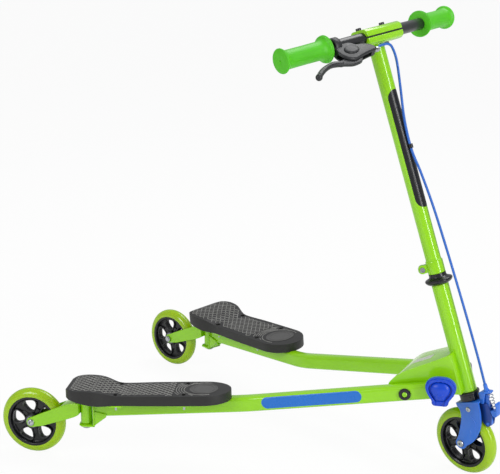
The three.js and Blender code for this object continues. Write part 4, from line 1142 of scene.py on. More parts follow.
@dataclass
class Leg:
    """Bent box tube with a notch for the clamping stud in front and the caster bracket behind."""

    line: LegLine = field(default_factory=LegLine)
    half_width: float = 11.0
    half_height: float = 13.6
    corner: float = 6.4
    wall: float = 2.0
    # Radius of the notch for the stud, and its flare above.
    notch: float = 5.0
    flare: Table = ((8, 30), (-14, 30))
    fold_bore: float = 4.4
    # How much sooner than the tube's line the hollow's ends behind, and what is then added at both its ends.
    hollow_ends: tuple[float, float] = (12.0, 6.0)
    bracket_back: float = 13.4
    bracket_half: float = 15.6
    cheek_length: float = 24.0
    bracket_plate: float = 3.0
    # Heights between which the bracket holds the caster's sleeve.
    bracket_gap: tuple[float, float] = (65.3, 105.7)
    # The film's reach along the tube from the bend, and down and up on its face.
    film_span: tuple[float, float, float, float] = (30.0, 207.0, -8.5, 12.0)
    film_steps: int = 12

    def frame_at_bracket(self, layout: Layout) -> Matrix:
        """Frame at the swivel: X back along the leg, Y outward and Z up.

        Args:
            layout: Frames of the sub-assemblies.

        Returns:
            The bracket's frame.
        """
        pivot = layout.point("right_caster_swivel")
        plan = self.line.rear_plan(pivot)
        pivot.z = 0.0
        return basis(plan, UP.cross(plan), UP, pivot)

    def tube(self, layout: Layout) -> None:
        """Makes the tube, its notch and the bolt's hole.

        Args:
            layout: Frames of the sub-assemblies.
        """
        pivot = layout.point("right_caster_swivel")
        section = rounded_box(self.half_width, self.half_height, self.corner)
        bore = rounded_box(self.half_width - self.wall, self.half_height - self.wall, self.corner - self.wall)
        body = Workpiece.swept(self.line.path(pivot, self.bracket_back), section)
        short, extra = self.hollow_ends
        body.cut(Workpiece.swept(self.line.path(pivot, self.bracket_back + short, extra), bore))
        notch = [*arc(self.notch, 180, 360, 16), *self.flare]
        body.cut(Workpiece.plate(notch, -THROUGH, THROUGH).moved(layout.stud()))
        body.cut(Workpiece.rod(self.fold_bore, -THROUGH, THROUGH).moved(layout.fold()))
        body.installed_pair("leg_tube", HERE, "leg", GREEN_POWDER_COAT, "arm")

    def film(self) -> None:
        """Lays a bare blue film with round ends on the outer face of the tube."""
        start, end, low, high = self.film_span
        film = Workpiece.plate(stadium(end - start, high - low, self.film_steps), 0.03, 0.15)
        film.moved(shift((start + end) / 2, (low + high) / 2, self.half_width) @ turn(-90))
        film.sliced((0, 1, 0), [low + (high - low) * i / self.film_steps for i in range(1, self.film_steps)])
        flat, axis = self.half_height - self.corner, self.half_width - self.corner

        def wrapped(place: Vector) -> Vector:
            """Bends what reaches over the flat face round the tube's corner.

            Args:
                place: Place on the flat film.

            Returns:
                The place on the tube.
            """
            beyond = abs(place.y) - flat
            if beyond <= 0:
                return place
            angle, out = beyond / self.corner, self.corner + place.z - self.half_width
            height = flat + out * math.sin(angle)
            return Vector((place.x, math.copysign(height, place.y), axis + out * math.cos(angle)))

        front, outward = self.line.front_way(), self.line.outward()
        face = basis(front, outward.cross(front), outward, self.line.bend)
        film.reshaped(wrapped).installed_pair("leg_film", face, "leg", BLUE_FILM)

    def bracket(self, layout: Layout) -> None:
        """Makes the folded bracket that takes the king pin above and below the caster's sleeve.

        Args:
            layout: Frames of the sub-assemblies.
        """
        half, back, plate = self.bracket_half, -self.bracket_back, self.bracket_plate
        low, high = self.bracket_gap
        rear = back - plate
        outline = [(rear, -half), (6, -half), (12, 7 - half), (12, half - 7), (6, half), (rear, half)]
        floor = Workpiece.plate(outline, low - plate, low)
        roof = Workpiece.plate(outline, high, high + plate)
        wall = Workpiece.block((rear, back), (-half, half), (low - plate, high + plate))
        far = back - self.cheek_length
        cheek = [(back, low - plate), (far, 81), (far, 86), (back, 92)]
        cheeks = [Workpiece.slab(cheek, y, y + plate) for y in (-13.9, 10.9)]
        for piece in (floor, roof, wall, *cheeks):
            piece.rounded(0.8, 2)
        floor.joined(roof, wall, *cheeks)
        floor.installed_pair("caster_bracket", self.frame_at_bracket(layout), "leg", GREEN_POWDER_COAT)

    def king_pin(self, layout: Layout) -> None:
        """Makes the pin that the caster swivels on."""
        clear = self.bracket_plate + 0.15
        pin = KING_PIN.between(self.bracket_gap[1] + clear, self.bracket_gap[0] - clear)
        pin.installed_pair("swivel_pin", self.frame_at_bracket(layout), "leg", BRIGHT_ZINC, "king_pin")

    def end_cap(self, layout: Layout) -> None:
        """Makes the plug in the open front end.

        Args:
            layout: Frames of the sub-assemblies.
        """
        front, side = self.line.front_way(), self.line.outward()
        start = self.line.path(layout.point("right_caster_swivel"), self.bracket_back)[0] + front * 0.15
        section = rounded_box(self.half_width, self.half_height, self.corner)
        cap = Workpiece.plate(section, 0, 2.4).rounded(0.9, 3)
        cap.joined(Workpiece.plate(rounded_box(8.6, 11.2, 4.2), -5, 0.2))
        place = basis(side, front.cross(side), front, start)
        cap.installed_pair("end_cap", place, "leg", BLACK_NYLON, "arm_plug")

    def build(self, layout: Layout) -> None:
        """Makes both legs.

        Args:
            layout: Frames of the sub-assemblies.
        """
        self.tube(layout)
        self.film()
        self.bracket(layout)
        self.king_pin(layout)
        self.end_cap(layout)


@dataclass
class Footboard:
    """Moulded board with a round toe, a narrow waist, a raised heel and a woven tread."""

    line: LegLine = field(default_factory=LegLine)
    slope: float = math.radians(2)
    skirt: float = 17.0
    edge: float = 4.2
    half_width: float = 44.0
    toe: float = 48.0
    toe_from: float = -30.0
    # Distance along the board, half width, rise of the top and rise of the skirt's lower edge.
    stations: Table = (
        (-30, 44, 0, 0), (60, 43, 0, 0), (112, 40.6, 0, 0), (126, 41, 1.7, 0), (138, 44, 6, 0.2),
        (151, 48.8, 9.6, 1.4), (164, 51.6, 11.2, 4), (180, 52, 12.2, 8), (193, 48.2, 12.6, 11.2),
        (201, 41.4, 12.4, 12.6), (206.6, 31, 11, 13.6))
    screws: Table = ((1.5, 32.5), (1.5, -32.5), (120, 32.5), (120, -32.5))
    straps: tuple[float, float] = (1.5, 120.0)
    wall: float = 3.6
    roof: float = 4.2
    medallion: float = 29.0
    tread_pitch: float = 5.92
    tread_edge: float = 8.0
    ridge_radii: tuple[float, ...] = (34.5, 39.0, 43.5, 48.0, 52.5, 57.0, 61.5, 66.0)
    ridge_steps: int = 120

    def frame(self, layout: Layout) -> Matrix:
        """Frame of the right board: X back along it, Y outward and Z off its top.

        Args:
            layout: Frames of the sub-assemblies.

        Returns:
            The board's frame.
        """
        mount = layout.mounts["right_footboard"]
        normal = Vector(mount["axis"]).normalized()
        plan = self.line.rear_plan(layout.point("right_caster_swivel"))
        along = plan * math.cos(self.slope) - UP * math.sin(self.slope)
        along = (along - normal * along.dot(normal)).normalized()
        return basis(along, normal.cross(along), normal, Vector(mount["pos_m"]) / MM - along * 60)

    def at(self, u: float, column: int) -> float:
        """Half width, top rise or skirt rise at a distance along the board.

        Args:
            u: Distance along the board.
            column: Column of the stations.

        Returns:
            The value there, in millimetres.
        """
        if u <= self.toe_from:
            reach = min((self.toe_from - u) / self.toe, 1.0)
            return self.half_width * math.sqrt(1 - reach**2) if column == 1 else 0.0
        rows = self.stations
        for i, (low, high) in enumerate(zip(rows, rows[1:])):
            if u <= high[0]:
                before, after = rows[max(i - 1, 0)], rows[min(i + 2, len(rows) - 1)]
                span = high[0] - low[0]
                t = (u - low[0]) / span
                slope_low = (high[column] - before[column]) / (high[0] - before[0]) * span if i else 0.0
                slope_high = (after[column] - low[column]) / (after[0] - low[0]) * span
                t2, t3 = t * t, t * t * t
                return ((2 * t3 - 3 * t2 + 1) * low[column] + (t3 - 2 * t2 + t) * slope_low
                        + (-2 * t3 + 3 * t2) * high[column] + (t3 - t2) * slope_high)
        return rows[-1][column]

    def outline(self) -> list[Vector]:
        """Outline of the board from above.

        Returns:
            Points of the outline.
        """
        toe = [self.toe_from - self.toe * math.cos(math.radians(a)) for a in range(0, 90, 6)]
        side = [self.toe_from + 6 * i for i in range(38)]
        upper = [Vector((u, self.at(u, 1), 0.0)) for u in [*toe, *side, 200.0, 203.0, 205.2, 206.6]]
        return [*upper, *(Vector((p.x, -p.y, 0.0)) for p in reversed(upper[1:]))]

    def drawn_in(self, point: Vector, distance: float) -> Vector:
        """Moves a point of the outline in towards the board's middle."""
        middle = Vector((min(max(point.x, self.toe_from), 170.0), 0.0, 0.0))
        away = point - middle
        return middle + away * max(away.length - distance, 1.0) / away.length

    def raised(self, corner: Vector) -> Vector:
        """Lifts a corner as the heel of the board rises."""
        top, low = self.at(corner.x, 2), self.at(corner.x, 3)
        share = min(max((corner.z + self.skirt) / self.skirt, 0.0), 1.0)
        return Vector((corner.x, corner.y, corner.z + low + (top - low) * share))

    def shell(self) -> Workpiece:
        """Moulded shell with its rolled edge and hollow underside.

        Returns:
            The new piece.
        """
        outline = self.outline()
        body = Workpiece.plate(outline, -self.skirt, 0.0).sliced((1, 0, 0), range(-66, 206, 8))
        body.rounded(self.edge, 5, 40)
        body.cut(Workpiece.plate([self.drawn_in(p, self.wall) for p in outline], -self.skirt - 6, -self.roof))
        body.cut(Workpiece.plate(stadium(10, 6.4), -9, 20).patterned([shift(x, y) for x, y in self.screws]))
        return body.reshaped(self.raised)

    def free(self, u: float, v: float, gap: float) -> bool:
        """Whether a place of the board is clear of its edge and of its screws."""
        inside = abs(v) < self.at(u, 1) - self.tread_edge
        return inside and all(math.hypot(u - x, v - y) > gap for x, y in self.screws)

    def tread(self) -> Workpiece:
        """Short bars in pairs that cross like a basket weave over the middle and the heel.

        Returns:
            All bars as one piece.
        """
        bar = Workpiece.block((-3.7, 3.7), (-0.75, 0.75), (-0.3, 0.8)).rounded(0.35, 1)
        frames = []
        for row in range(-2, 32):
            for column in range(-7, 8):
                u, v = 24 + row * self.tread_pitch, column * self.tread_pitch
                if 20 < u < 198 and self.free(u, v, 9.5):
                    slant = math.degrees(math.atan2(self.at(u + 3, 2) - self.at(u - 3, 2), 6.0))
                    across = turn(45 if (row + column) % 2 else -45)
                    frames.append(shift(u, v, self.at(u, 2)) @ turn(-slant, "Y") @ across)
        return bar.patterned(frames)

    def toe_ridges(self) -> Workpiece:
        """Ridges that run round the medallion at the toe.

        Returns:
            All ridges as one piece.
        """
        ridges = []
        for radius in self.ridge_radii:
            path: list[Vector] = []
            for step, p in enumerate(arc(radius, -111.6, 111.6, self.ridge_steps, (self.toe_from, 0))):
                free = p.x < 19 and self.free(p.x, p.y, 8.5)
                if free:
                    path.append(p + UP * 0.1)
                if (not free or step == self.ridge_steps) and len(path) > 5:
                    ridges.append(Workpiece.tube(path, 0.75, 2))
                if not free:
                    path = []
        return ridges[0].joined(*ridges[1:])

    def medallion_disc(self) -> Workpiece:
        """Plain round boss with two rings at the toe.

        Returns:
            The new piece.
        """
        r = self.medallion
        disc = Workpiece.turned(
            [(0, -0.5), (r, -0.5), (r, 0.5), (r - 0.6, 1.0), (r - 2.2, 1.0), (r - 2.8, 0.4), (r - 6.0, 0.4),
             (r - 6.6, 0.9), (r - 8.0, 0.9), (r - 8.6, 0.35), (0, 0.5)], 72)
        return disc.moved(shift(self.toe_from) @ Matrix.Scale(0.86, 4, (1, 0, 0)))

    def build(self, layout: Layout) -> None:
        """Makes both boards with their tread, screws and carriers.

        Args:
            layout: Frames of the sub-assemblies.
        """
        place = self.frame(layout)
        self.shell().installed_pair("footboard_shell", place, "leg", FOOTBOARD_POLYPROPYLENE, "deck")
        self.tread().installed_pair("footboard_tread", place, "leg", TREAD_POLYPROPYLENE)
        self.toe_ridges().installed_pair("toe_ridges", place, "leg", TREAD_POLYPROPYLENE)
        self.medallion_disc().installed_pair("toe_medallion", place, "leg", MEDALLION_POLYPROPYLENE)
        head = [(0, -8.85), (2.9, -8.85), (2.9, -7.4), (2.1, -6.45), (0, -6.3)]
        for number, (x, y) in enumerate(self.screws, 1):
            screw = Workpiece.cross_head(head, 1.6, 0.4, -7.4, 24).joined(Workpiece.rod(2.1, -26.5, -8.0, 20))
            screw.installed_pair(
                f"board_screw_{number}", place @ shift(x, y), "leg", BRIGHT_ZINC, f"deck_screw_{number}",
                slot="plain_steel")
        for number, u in enumerate(self.straps, 1):
            strap = Workpiece.block((u - 11, u + 11), (-40, 40), (-20.2, -17.2)).rounded(0.9, 2)
            strap.joined(Workpiece.block((u - 9, u + 9), (-12.5, 5.5), (-28, -18)).rounded(0.8, 2))
            strap.installed_pair(f"board_strap_{number}", place, "leg", GREEN_POWDER_COAT)


# Frame.


@dataclass
class HeadFrame:
    """Head tube with the folded sheet that carries the legs behind it."""

    line: LegLine = field(default_factory=LegLine)
    tube_radius: float = 14.6
    tube_bore: float = 12.6
    low: float = 100.5
    high: float = 290.5
    sheet: float = 2.5
    plate_out: float = 11.7
    nose: float = 30.0
    # Heights over the leg's middle at which heads and nuts of the bolts lie against it.
    outer_face: float = 11.15
    inner_face: float = -14.35
    # Roof line of the sheet, forward and up from its rear lip, on the drawing.
    roof: Table = (
        (-118.5, 166.0), (-114.0, 172.5), (-97.0, 187.6), (-76.0, 198.4), (-50.0, 210.6), (-22.0, 225.0))
    cup: Table = (
        (11.6, 85.6), (16.4, 85.6), (17.0, 86.4), (17.0, 96.0), (18.2, 97.0), (18.2, 99.4), (17.6, 100.2),
        (11.6, 100.3))

    def between_plates(self, zero: float, inset: float, rear: float) -> Workpiece:
        """Body between the straight side plates, drawn in by an inset.

        Args:
            zero: Forward distance of the drawing's zero.
            inset: Distance inside the plates.
            rear: Rear end on the drawing.

        Returns:
            The new piece.
        """
        bend, front = self.line.bend, self.line.front_way()
        side = self.line.outward() * (self.plate_out + inset)
        right = [bend + front * ((zero + x - bend.x) / front.x) - side for x in (rear, self.nose)]
        left = [(p.x, -p.y) for p in reversed(right)]
        return Workpiece.plate([*right, *left], 90, 290)

    def sheet_shell(self, layout: Layout) -> Workpiece:
        """Folded sheet that rises from its rear lip to a flat front wall behind the head tube.

        Args:
            layout: Frames of the sub-assemblies.

        Returns:
            The new piece.
        """
        zero, head, sheet = layout.bench_x(), layout.head(), self.sheet

        def behind(gap: float) -> Workpiece:
            """Everything behind a plane across the head tube."""
            return Workpiece.block((-300, -1.5 - gap), (-90, 90), (-100, 400)).moved(head)

        roof = [(p.x + zero, p.y) for p in smooth(self.roof, 5)]
        ahead, rear = zero + self.nose, zero - 150
        solid = [*roof, (ahead, self.roof[-1][1]), (ahead, 160), (self.roof[0][0] + zero, 147)]
        shell = Workpiece.slab(solid, -90, 90)
        shell.worked("INTERSECT", self.between_plates(zero, 0.0, -124), behind(0.0))
        under = [(x + 0.6 * sheet, z - 0.9 * sheet) for x, z in roof]
        inside = [(rear, under[0][1]), *under, (ahead, under[-1][1]), (ahead, 100), (rear, 100)]
        hollow = Workpiece.slab(inside, -90, 90)
        hollow.worked("INTERSECT", self.between_plates(zero, sheet, -150), behind(sheet))
        return shell.rounded(3.2, 5, 28).cut(hollow)

    def roof_label(self, layout: Layout) -> None:
        """Lays a bare pale film on the slope of the roof.

        Args:
            layout: Frames of the sub-assemblies.
        """
        zero = layout.bench_x()
        slope = [Vector((p.x + zero, p.y, 0)) for p in smooth(self.roof, 5) if -97 < p.x < -56]
        steps = [(b - a).normalized() for a, b in zip(slope, [*slope[1:], 2 * slope[-1] - slope[-2]])]
        over = [p + Vector((-d.y, d.x, 0)) * 0.25 for p, d in zip(slope, steps)]
        film = Workpiece.slab([*over, *reversed(slope)], -11, 11)
        film.installed("roof_film", HERE, "frame", PALE_FILM)

    def fold_bolts(self, layout: Layout) -> None:
        """Makes the bolts that the legs fold on, with their black caps and green middles.

        Args:
            layout: Frames of the sub-assemblies.
        """
        bolt = FOLD_BOLT.between(self.outer_face, self.inner_face)
        bolt.installed_pair("fold_bolt_cap", layout.fold(), "frame", BLACK_NYLON, "fold_bolt")
        button = Workpiece.turned([(0, 2.0), (4.3, 2.0), (4.3, 3.2), (3.4, 3.9), (0, 4.1)], 32)
        button.cut(Workpiece.plate(ring(1.9, 6), 3.0, 5.0))
        place = layout.fold() @ shift(z=self.outer_face)
        button.installed_pair("fold_bolt_button", place, "frame", GREEN_POWDER_COAT)

    def studs(self, layout: Layout) -> None:
        """Makes the studs that clamp the legs: a long one for the knob, and a short one under a cap nut.

        Args:
            layout: Frames of the sub-assemblies.
        """
        inside, place = self.inner_face, layout.stud()
        for side, end in zip(Side, (24.0, 15.0)):
            head = Workpiece.plate(ring(7.2, 6), inside - 4.8, inside).rounded(0.5, 2)
            head.joined(Workpiece.rod(3.9, inside - 1, end, 24)).installed(
                f"{side.value}_stud", side.frame @ place, "frame", BRIGHT_ZINC, f"{side.value}_clamp_stud",
                slot="plain_steel")
        middle, top = 15.2, 17.55
        nut = Workpiece.plate(ring(6.0, 6), self.outer_face, middle).rounded(0.4, 2)
        crown = smooth([(5.0, middle - 0.4), (4.6, 16.0), (3.2, 17.1), (1.6, top)], 3)
        nut.joined(Workpiece.turned([(0, middle - 0.4), *((p.x, p.y) for p in crown), (0, top)], 32))
        nut.installed("left_cap_nut", MIRROR @ place, "left_knob_body", BLACK_NYLON, "left_knob")

    def build(self, layout: Layout) -> None:
        """Makes the head tube, sheet, lower cup, fold bolts and studs.

        Args:
            layout: Frames of the sub-assemblies.
        """
        head = layout.head()
        shell = self.sheet_shell(layout)
        shell.cut(Workpiece.rod(self.tube_bore, self.low - 30, self.high + 30, 48).moved(head))
        self.roof_label(layout)
        shell.joined(Workpiece.pipe(self.tube_bore, self.tube_radius, self.low, self.high, 64).moved(head))
        shell.installed("head_tube_and_sheet", HERE, "frame", GREEN_POWDER_COAT, "main_frame")
        cup = Workpiece.turned(self.cup, 64).joined(Workpiece.ball(1.5, (6.0, -16.2, 92.0), 16))
        cup.installed("lower_bearing_cup", head, "frame", BLACK_NYLON, "lower_cup")
        self.fold_bolts(layout)
        self.studs(layout)


@dataclass
class Knob:
    """Moulded clamping knob: a dome between two raised wings over a narrow foot."""

    base: float = 12.2
    rim: float = 22.0
    dome_height: float = 8.6
    dome_steps: int = 8
    # Halves of outlines, from the top of the knob down its right side.
    outline: Table = (
        (0, 19.8), (10, 19), (18, 15.6), (23.6, 9.6), (25.4, 2), (23.4, -6.4), (19, -14.4), (15, -20),
        (12, -27.6), (6, -29))
    wing_outer: Table = (
        (4.0, 18.6), (15.4, 15.2), (21.6, 8.8), (23.4, 2.0), (21.4, -6.4), (17.2, -14.0), (13.2, -19.6),
        (10.8, -26.0))
    wing_inner: Table = (
        (7.0, -26.0), (9.0, -18.8), (13.8, -12.4), (17.8, -5.4), (19.4, 1.4), (17.8, 6.8), (12.8, 11.4),
        (4.0, 14.6))
    foot: Table = ((-12, -21), (12, -21), (11.2, -28.4), (0, -29.2), (-11.2, -28.4))
    brow: Table = ((-6, 17.0), (0, 18.8), (6, 17.0), (5, 13.6), (0, 14.8), (-5, 13.6))

    def whole(self, share: float) -> list[Vector]:
        """Outline of the whole knob at a share of its size."""
        left = [(-x, y) for x, y in reversed(self.outline[1:])]
        return smooth([(x * share, y * share) for x, y in (*self.outline, *left)], 4, closed=True)

    def dome(self) -> Workpiece:
        """Top that rises in steps from the rim, each drawn in.

        Returns:
            The new piece.
        """
        dome = Workpiece.plate(self.whole(0.66), self.rim - 3, self.rim + 1)
        with dome.editing():
            bpy.ops.mesh.select_all(action="DESELECT")
        for polygon in dome.obj.data.polygons:
            polygon.select = polygon.normal.z > 0.9
        angles = [math.radians(10.5 * step) for step in range(self.dome_steps + 1)]
        bpy.ops.object.mode_set(mode="EDIT")
        for last, angle in zip(angles, angles[1:]):
            rise = self.dome_height * (math.sin(angle) - math.sin(last))
            share = math.cos(angle) / math.cos(last)
            bpy.ops.mesh.extrude_region_move(TRANSFORM_OT_translate={"value": (0, 0, rise)})
            bpy.ops.transform.resize(value=(share, share, 1), center_override=ORIGIN)
        bpy.ops.object.mode_set(mode="OBJECT")
        return dome.welded().closed()

    def build(self, layout: Layout) -> None:
        """Makes the knob of the right side; the photograph has none on the left.

        Args:
            layout: Frames of the sub-assemblies.
        """
        rim = self.rim
        body = Workpiece.plate(self.whole(1.0), self.base, rim).rounded(1.2, 3, 40)
        wings = []
        for side in (-1, 1):
            outer, inner = (
                smooth([(side * x, y) for x, y in edge], 4) for edge in (self.wing_outer, self.wing_inner))
            wings.append(Workpiece.plate([*outer, *inner], rim - 2, rim + 4.6).rounded(1.2, 3, 40))
        foot = Workpiece.plate(smooth(self.foot, 5, closed=True), self.base, rim + 1.5).rounded(1.2, 3, 40)
        foot.cut(Workpiece.block((-8, 8), (-27.4, -24.6), (rim + 0.8, rim + 4)))
        brow = Workpiece.plate(smooth(self.brow, 5, closed=True), rim - 2, rim + 4.4).rounded(0.9, 3, 40)
        pill = Workpiece.plate(stadium(11, 5), rim + 4, rim + 9.4).rounded(0.8, 2, 40)
        body.joined(self.dome(), *wings, foot, brow, pill.moved(shift(0, -7.5) @ turn(90)))
        body.installed(
            "right_clamping_knob", layout.stud(), "right_knob_body", BLUE_ABS, "right_knob", crease=50)


# Steering.


@dataclass
class SteeringColumn:
    """Stem, its clamping sleeve, the flared collar and the steerer inside."""

    radius: float = 13.1
    bore: float = 11.35
    sleeve: float = 14.8
    low: float = 310.0
    sleeve_top: float = 333.0
    top: float = 705.2
    pinch_height: float = 321.0
    # Degrees about the stem and reach of each ear: the photograph's near one and the solids' far one.
    near_ear: tuple[float, float] = (-140, 22.0)
    far_ear: tuple[float, float] = (120, 20.0)
    # Heights between which the film lies, and the degrees that it covers to each side.
    film_span: tuple[float, float] = (423.6, 625.0)
    film_half_angle: float = 66.0

    def stem(self, place: Matrix) -> None:
        """Makes the stem with the split sleeve at its foot.

        Args:
            place: Frame of the steering.
        """
        sleeve, low, end, top = self.sleeve, self.low, self.sleeve_top, self.top
        tube = Workpiece.turned(
            [(self.bore, low), (sleeve - 0.6, low), (sleeve, low + 0.6), (sleeve, end - 2.4),
             (sleeve - 0.6, end - 1.2), (self.radius, end), (self.radius, top), (self.bore, top)], 64)
        for angle, reach in (self.near_ear, self.far_ear):
            lug = Workpiece.slab(ring(7.4, 32, (reach, 0.0)), -6.2, 6.2).rounded(0.8, 2, 50)
            lug.worked("UNION", Workpiece.block((12.4, reach), (-6.2, 6.2), (-6.8, 6.8)).rounded(0.5, 2))
            slit = Workpiece.block((12.6, reach + 12), (-1.2, 1.2), (low - 5, end + 6)).moved(turn(angle))
            lug.moved(turn(angle) @ shift(z=self.pinch_height)).cut(slit.copied())
            tube.cut(slit).joined(lug)
        tube.installed("stem_tube", place, "steering", GREEN_POWDER_COAT, "stem")

    def film(self, place: Matrix) -> None:
        """Lays a bare black film with round ends on the front of the stem.

        Args:
            place: Frame that the pieces are set into.
        """
        low, high = self.film_span
        half = self.radius * math.radians(self.film_half_angle)
        film = Workpiece.plate(stadium(high - low, 2 * half, 16), 0.03, 0.15)
        film.sliced((1, 0, 0), [half * (step / 8 - 1) for step in range(1, 16)])

        def bent(corner: Vector) -> Vector:
            """Bends the flat film round the stem."""
            angle, out = corner.x / self.radius, self.radius + corner.z
            return Vector((out * math.cos(angle), out * math.sin(angle), (low + high) / 2 + corner.y))

        film.reshaped(bent).installed("stem_film", place, "steering", BLACK_FILM)

    def pinch_bolts(self, place: Matrix) -> None:
        """Makes the bolt across each ear of the sleeve.

        Args:
            place: Frame that the pieces are set into.
        """
        for name, (angle, reach), lie, nodes in (
            ("near_pinch_bolt", self.near_ear, -90, []), ("far_pinch_bolt", self.far_ear, 90, ["pinch_bolt"])
        ):
            bolt = PINCH_BOLT.between(6.35, -6.35)
            bolt.moved(turn(angle) @ shift(reach, 0, self.pinch_height) @ turn(lie, "X"))
            bolt.installed(name, place, "steering", BRIGHT_ZINC, *nodes)

    def build(self, layout: Layout) -> None:
        """Makes the column with its collar.

        Args:
            layout: Frames of the sub-assemblies.
        """
        place = layout.steering()
        self.stem(place)
        self.film(place)
        self.pinch_bolts(place)
        lower = smooth([(16.4, 291.0), (20.6, 293.2), (23.2, 296.4), (23.5, 298.6)], 4)
        upper = smooth([(22.4, 300.2), (18.4, 301.9), (15.4, 303.8), (14.8, 306.4)], 4)
        collar = Workpiece.turned([(11.15, 291.0), *lower, *upper, (14.8, 309.6), (11.15, 309.6)], 72)
        collar.installed("flared_collar", place, "steering", BLACK_NYLON, "collar")
        steerer = Workpiece.turned([(9, 84.75), (11, 84.75), (11, 372), (9, 372)], 40)
        steerer.installed("steerer_tube", place, "steering", DARK_STEEL, "steerer")


@dataclass
class HandleBar:
    """Swept bar in its split clamp, with flanged rubber grips."""

    bend: float = math.radians(8.5)
    radius: float = 10.0
    forward: float = 12.5
    height: float = 716.6
    straight: float = 46.0
    half: float = 213.0
    clamp_half: float = 44.5
    grip_length: float = 92.0
    # Forward from the bar and away from the clamp's split.
    clamp_profile: Table = (
        (14.4, 1.3), (14.4, 6.2), (12.6, 10.8), (8.0, 13.8), (3.0, 14.4), (-16.0, 14.4), (-19.6, 13.0),
        (-21.5, 9.0), (-21.5, 1.3))
    # Radius and distance from the inner end, and from the outer end.
    grip_flange: Table = (
        (20.6, 0), (22.3, 0.5), (22.5, 1.4), (22.2, 2.4), (21.4, 3), (21.8, 3.8), (21.2, 5.2), (19.2, 6.4),
        (17.6, 8.4), (16.4, 11), (15.6, 14.2), (15.3, 18))
    grip_bell: Table = (
        (15.2, 18.0), (15.6, 11.0), (16.8, 7.0), (18.8, 4.6), (20.1, 2.6), (19.9, 1.0), (18.2, 0.1))

    def point(self, along: float) -> Vector:
        """Place on the bar's centre line at a distance from its middle.

        Args:
            along: Distance from the bar's middle, positive to the left.

        Returns:
            The place, in the steering's frame.
        """
        beyond = max(abs(along) - self.straight, 0.0)
        ahead = self.forward - beyond * math.sin(self.bend)
        across = min(abs(along), self.straight) + beyond * math.cos(self.bend)
        return Vector((ahead, math.copysign(across, along), self.height))

    def grip_frame(self, side: int) -> Matrix:
        """Frame at a grip's inner end with Z outboard.

        Args:
            side: -1 on the rider's right and 1 on the left.

        Returns:
            The grip's frame.
        """
        outboard = Vector((-math.sin(self.bend), side * math.cos(self.bend), 0))
        ahead = Vector((math.cos(self.bend), side * math.sin(self.bend), 0))
        start = self.point(side * (self.half + 2 - self.grip_length))
        return basis(ahead, outboard.cross(ahead), outboard, start)

    def bar(self, place: Matrix) -> None:
        """Makes the bar.

        Args:
            place: Frame that the pieces are set into.
        """
        right = [34, 42, 50, 58, 70, 100, 150, self.half - 0.5]
        path = smooth([self.point(stop) for stop in (*(-stop for stop in reversed(right)), *right)], 3)
        Workpiece.tube(path, self.radius, 9).installed(
            "swept_bar", place, "steering", BLACK_POWDER_COAT, "handlebar")

    def clamp(self, place: Matrix) -> None:
        """Makes both halves of the clamp and its bolts.

        Args:
            place: Frame that the pieces are set into.
        """
        x, half = self.forward, self.clamp_half
        for side, name, node in ((1, "clamp_cap", "clamp_upper"), (-1, "clamp_seat", "clamp_lower")):
            outline = [(x + u, self.height + side * w) for u, w in self.clamp_profile]
            body = Workpiece.slab(outline, -half, half).rounded(1.0, 3, 26)
            body.cut(Workpiece.slab(ring(self.radius + 0.15, 48, (x, self.height)), -half - 5, half + 5))
            if side < 0:
                body.cut(Workpiece.rod(13.45, self.height - 60, self.height - 11.3, 48))
            body.installed(name, place, "steering", GREEN_POWDER_COAT, node)
        for side in Side:
            screw = CLAMP_SCREW.between(14.55, -14.55).moved(shift(x - 14.6, side.sign * 30, self.height))
            screw.installed(
                f"{side.value}_clamp_screw", place, "steering", BLACK_POWDER_COAT, f"{side.value}_clamp_bolt")

    def grips(self, place: Matrix) -> None:
        """Makes both grips with their inner discs and bell ends.

        Args:
            place: Frame that the pieces are set into.
        """
        length = self.grip_length
        bell = smooth([(r, length - z) for r, z in self.grip_bell], 3)
        profile = [(10.15, 0), *smooth(self.grip_flange, 3), (15.1, 40), (15.1, 58), *bell, (3, length),
                   (2.2, length - 0.3), (1.6, length - 1.6), (0, length - 1.6), (0, length - 2),
                   (10.15, length - 2)]
        for side in Side:
            frame = place @ self.grip_frame(side.sign)
            Workpiece.turned(profile, 72).installed(
                f"{side.value}_rubber_grip", frame, "steering", GREEN_RUBBER, f"{side.value}_grip", crease=40)

    def build(self, layout: Layout) -> None:
        """Makes the whole handlebar.

        Args:
            layout: Frames of the sub-assemblies.
        """
        place = layout.steering()
        self.bar(place)
        self.clamp(place)
        self.grips(place)


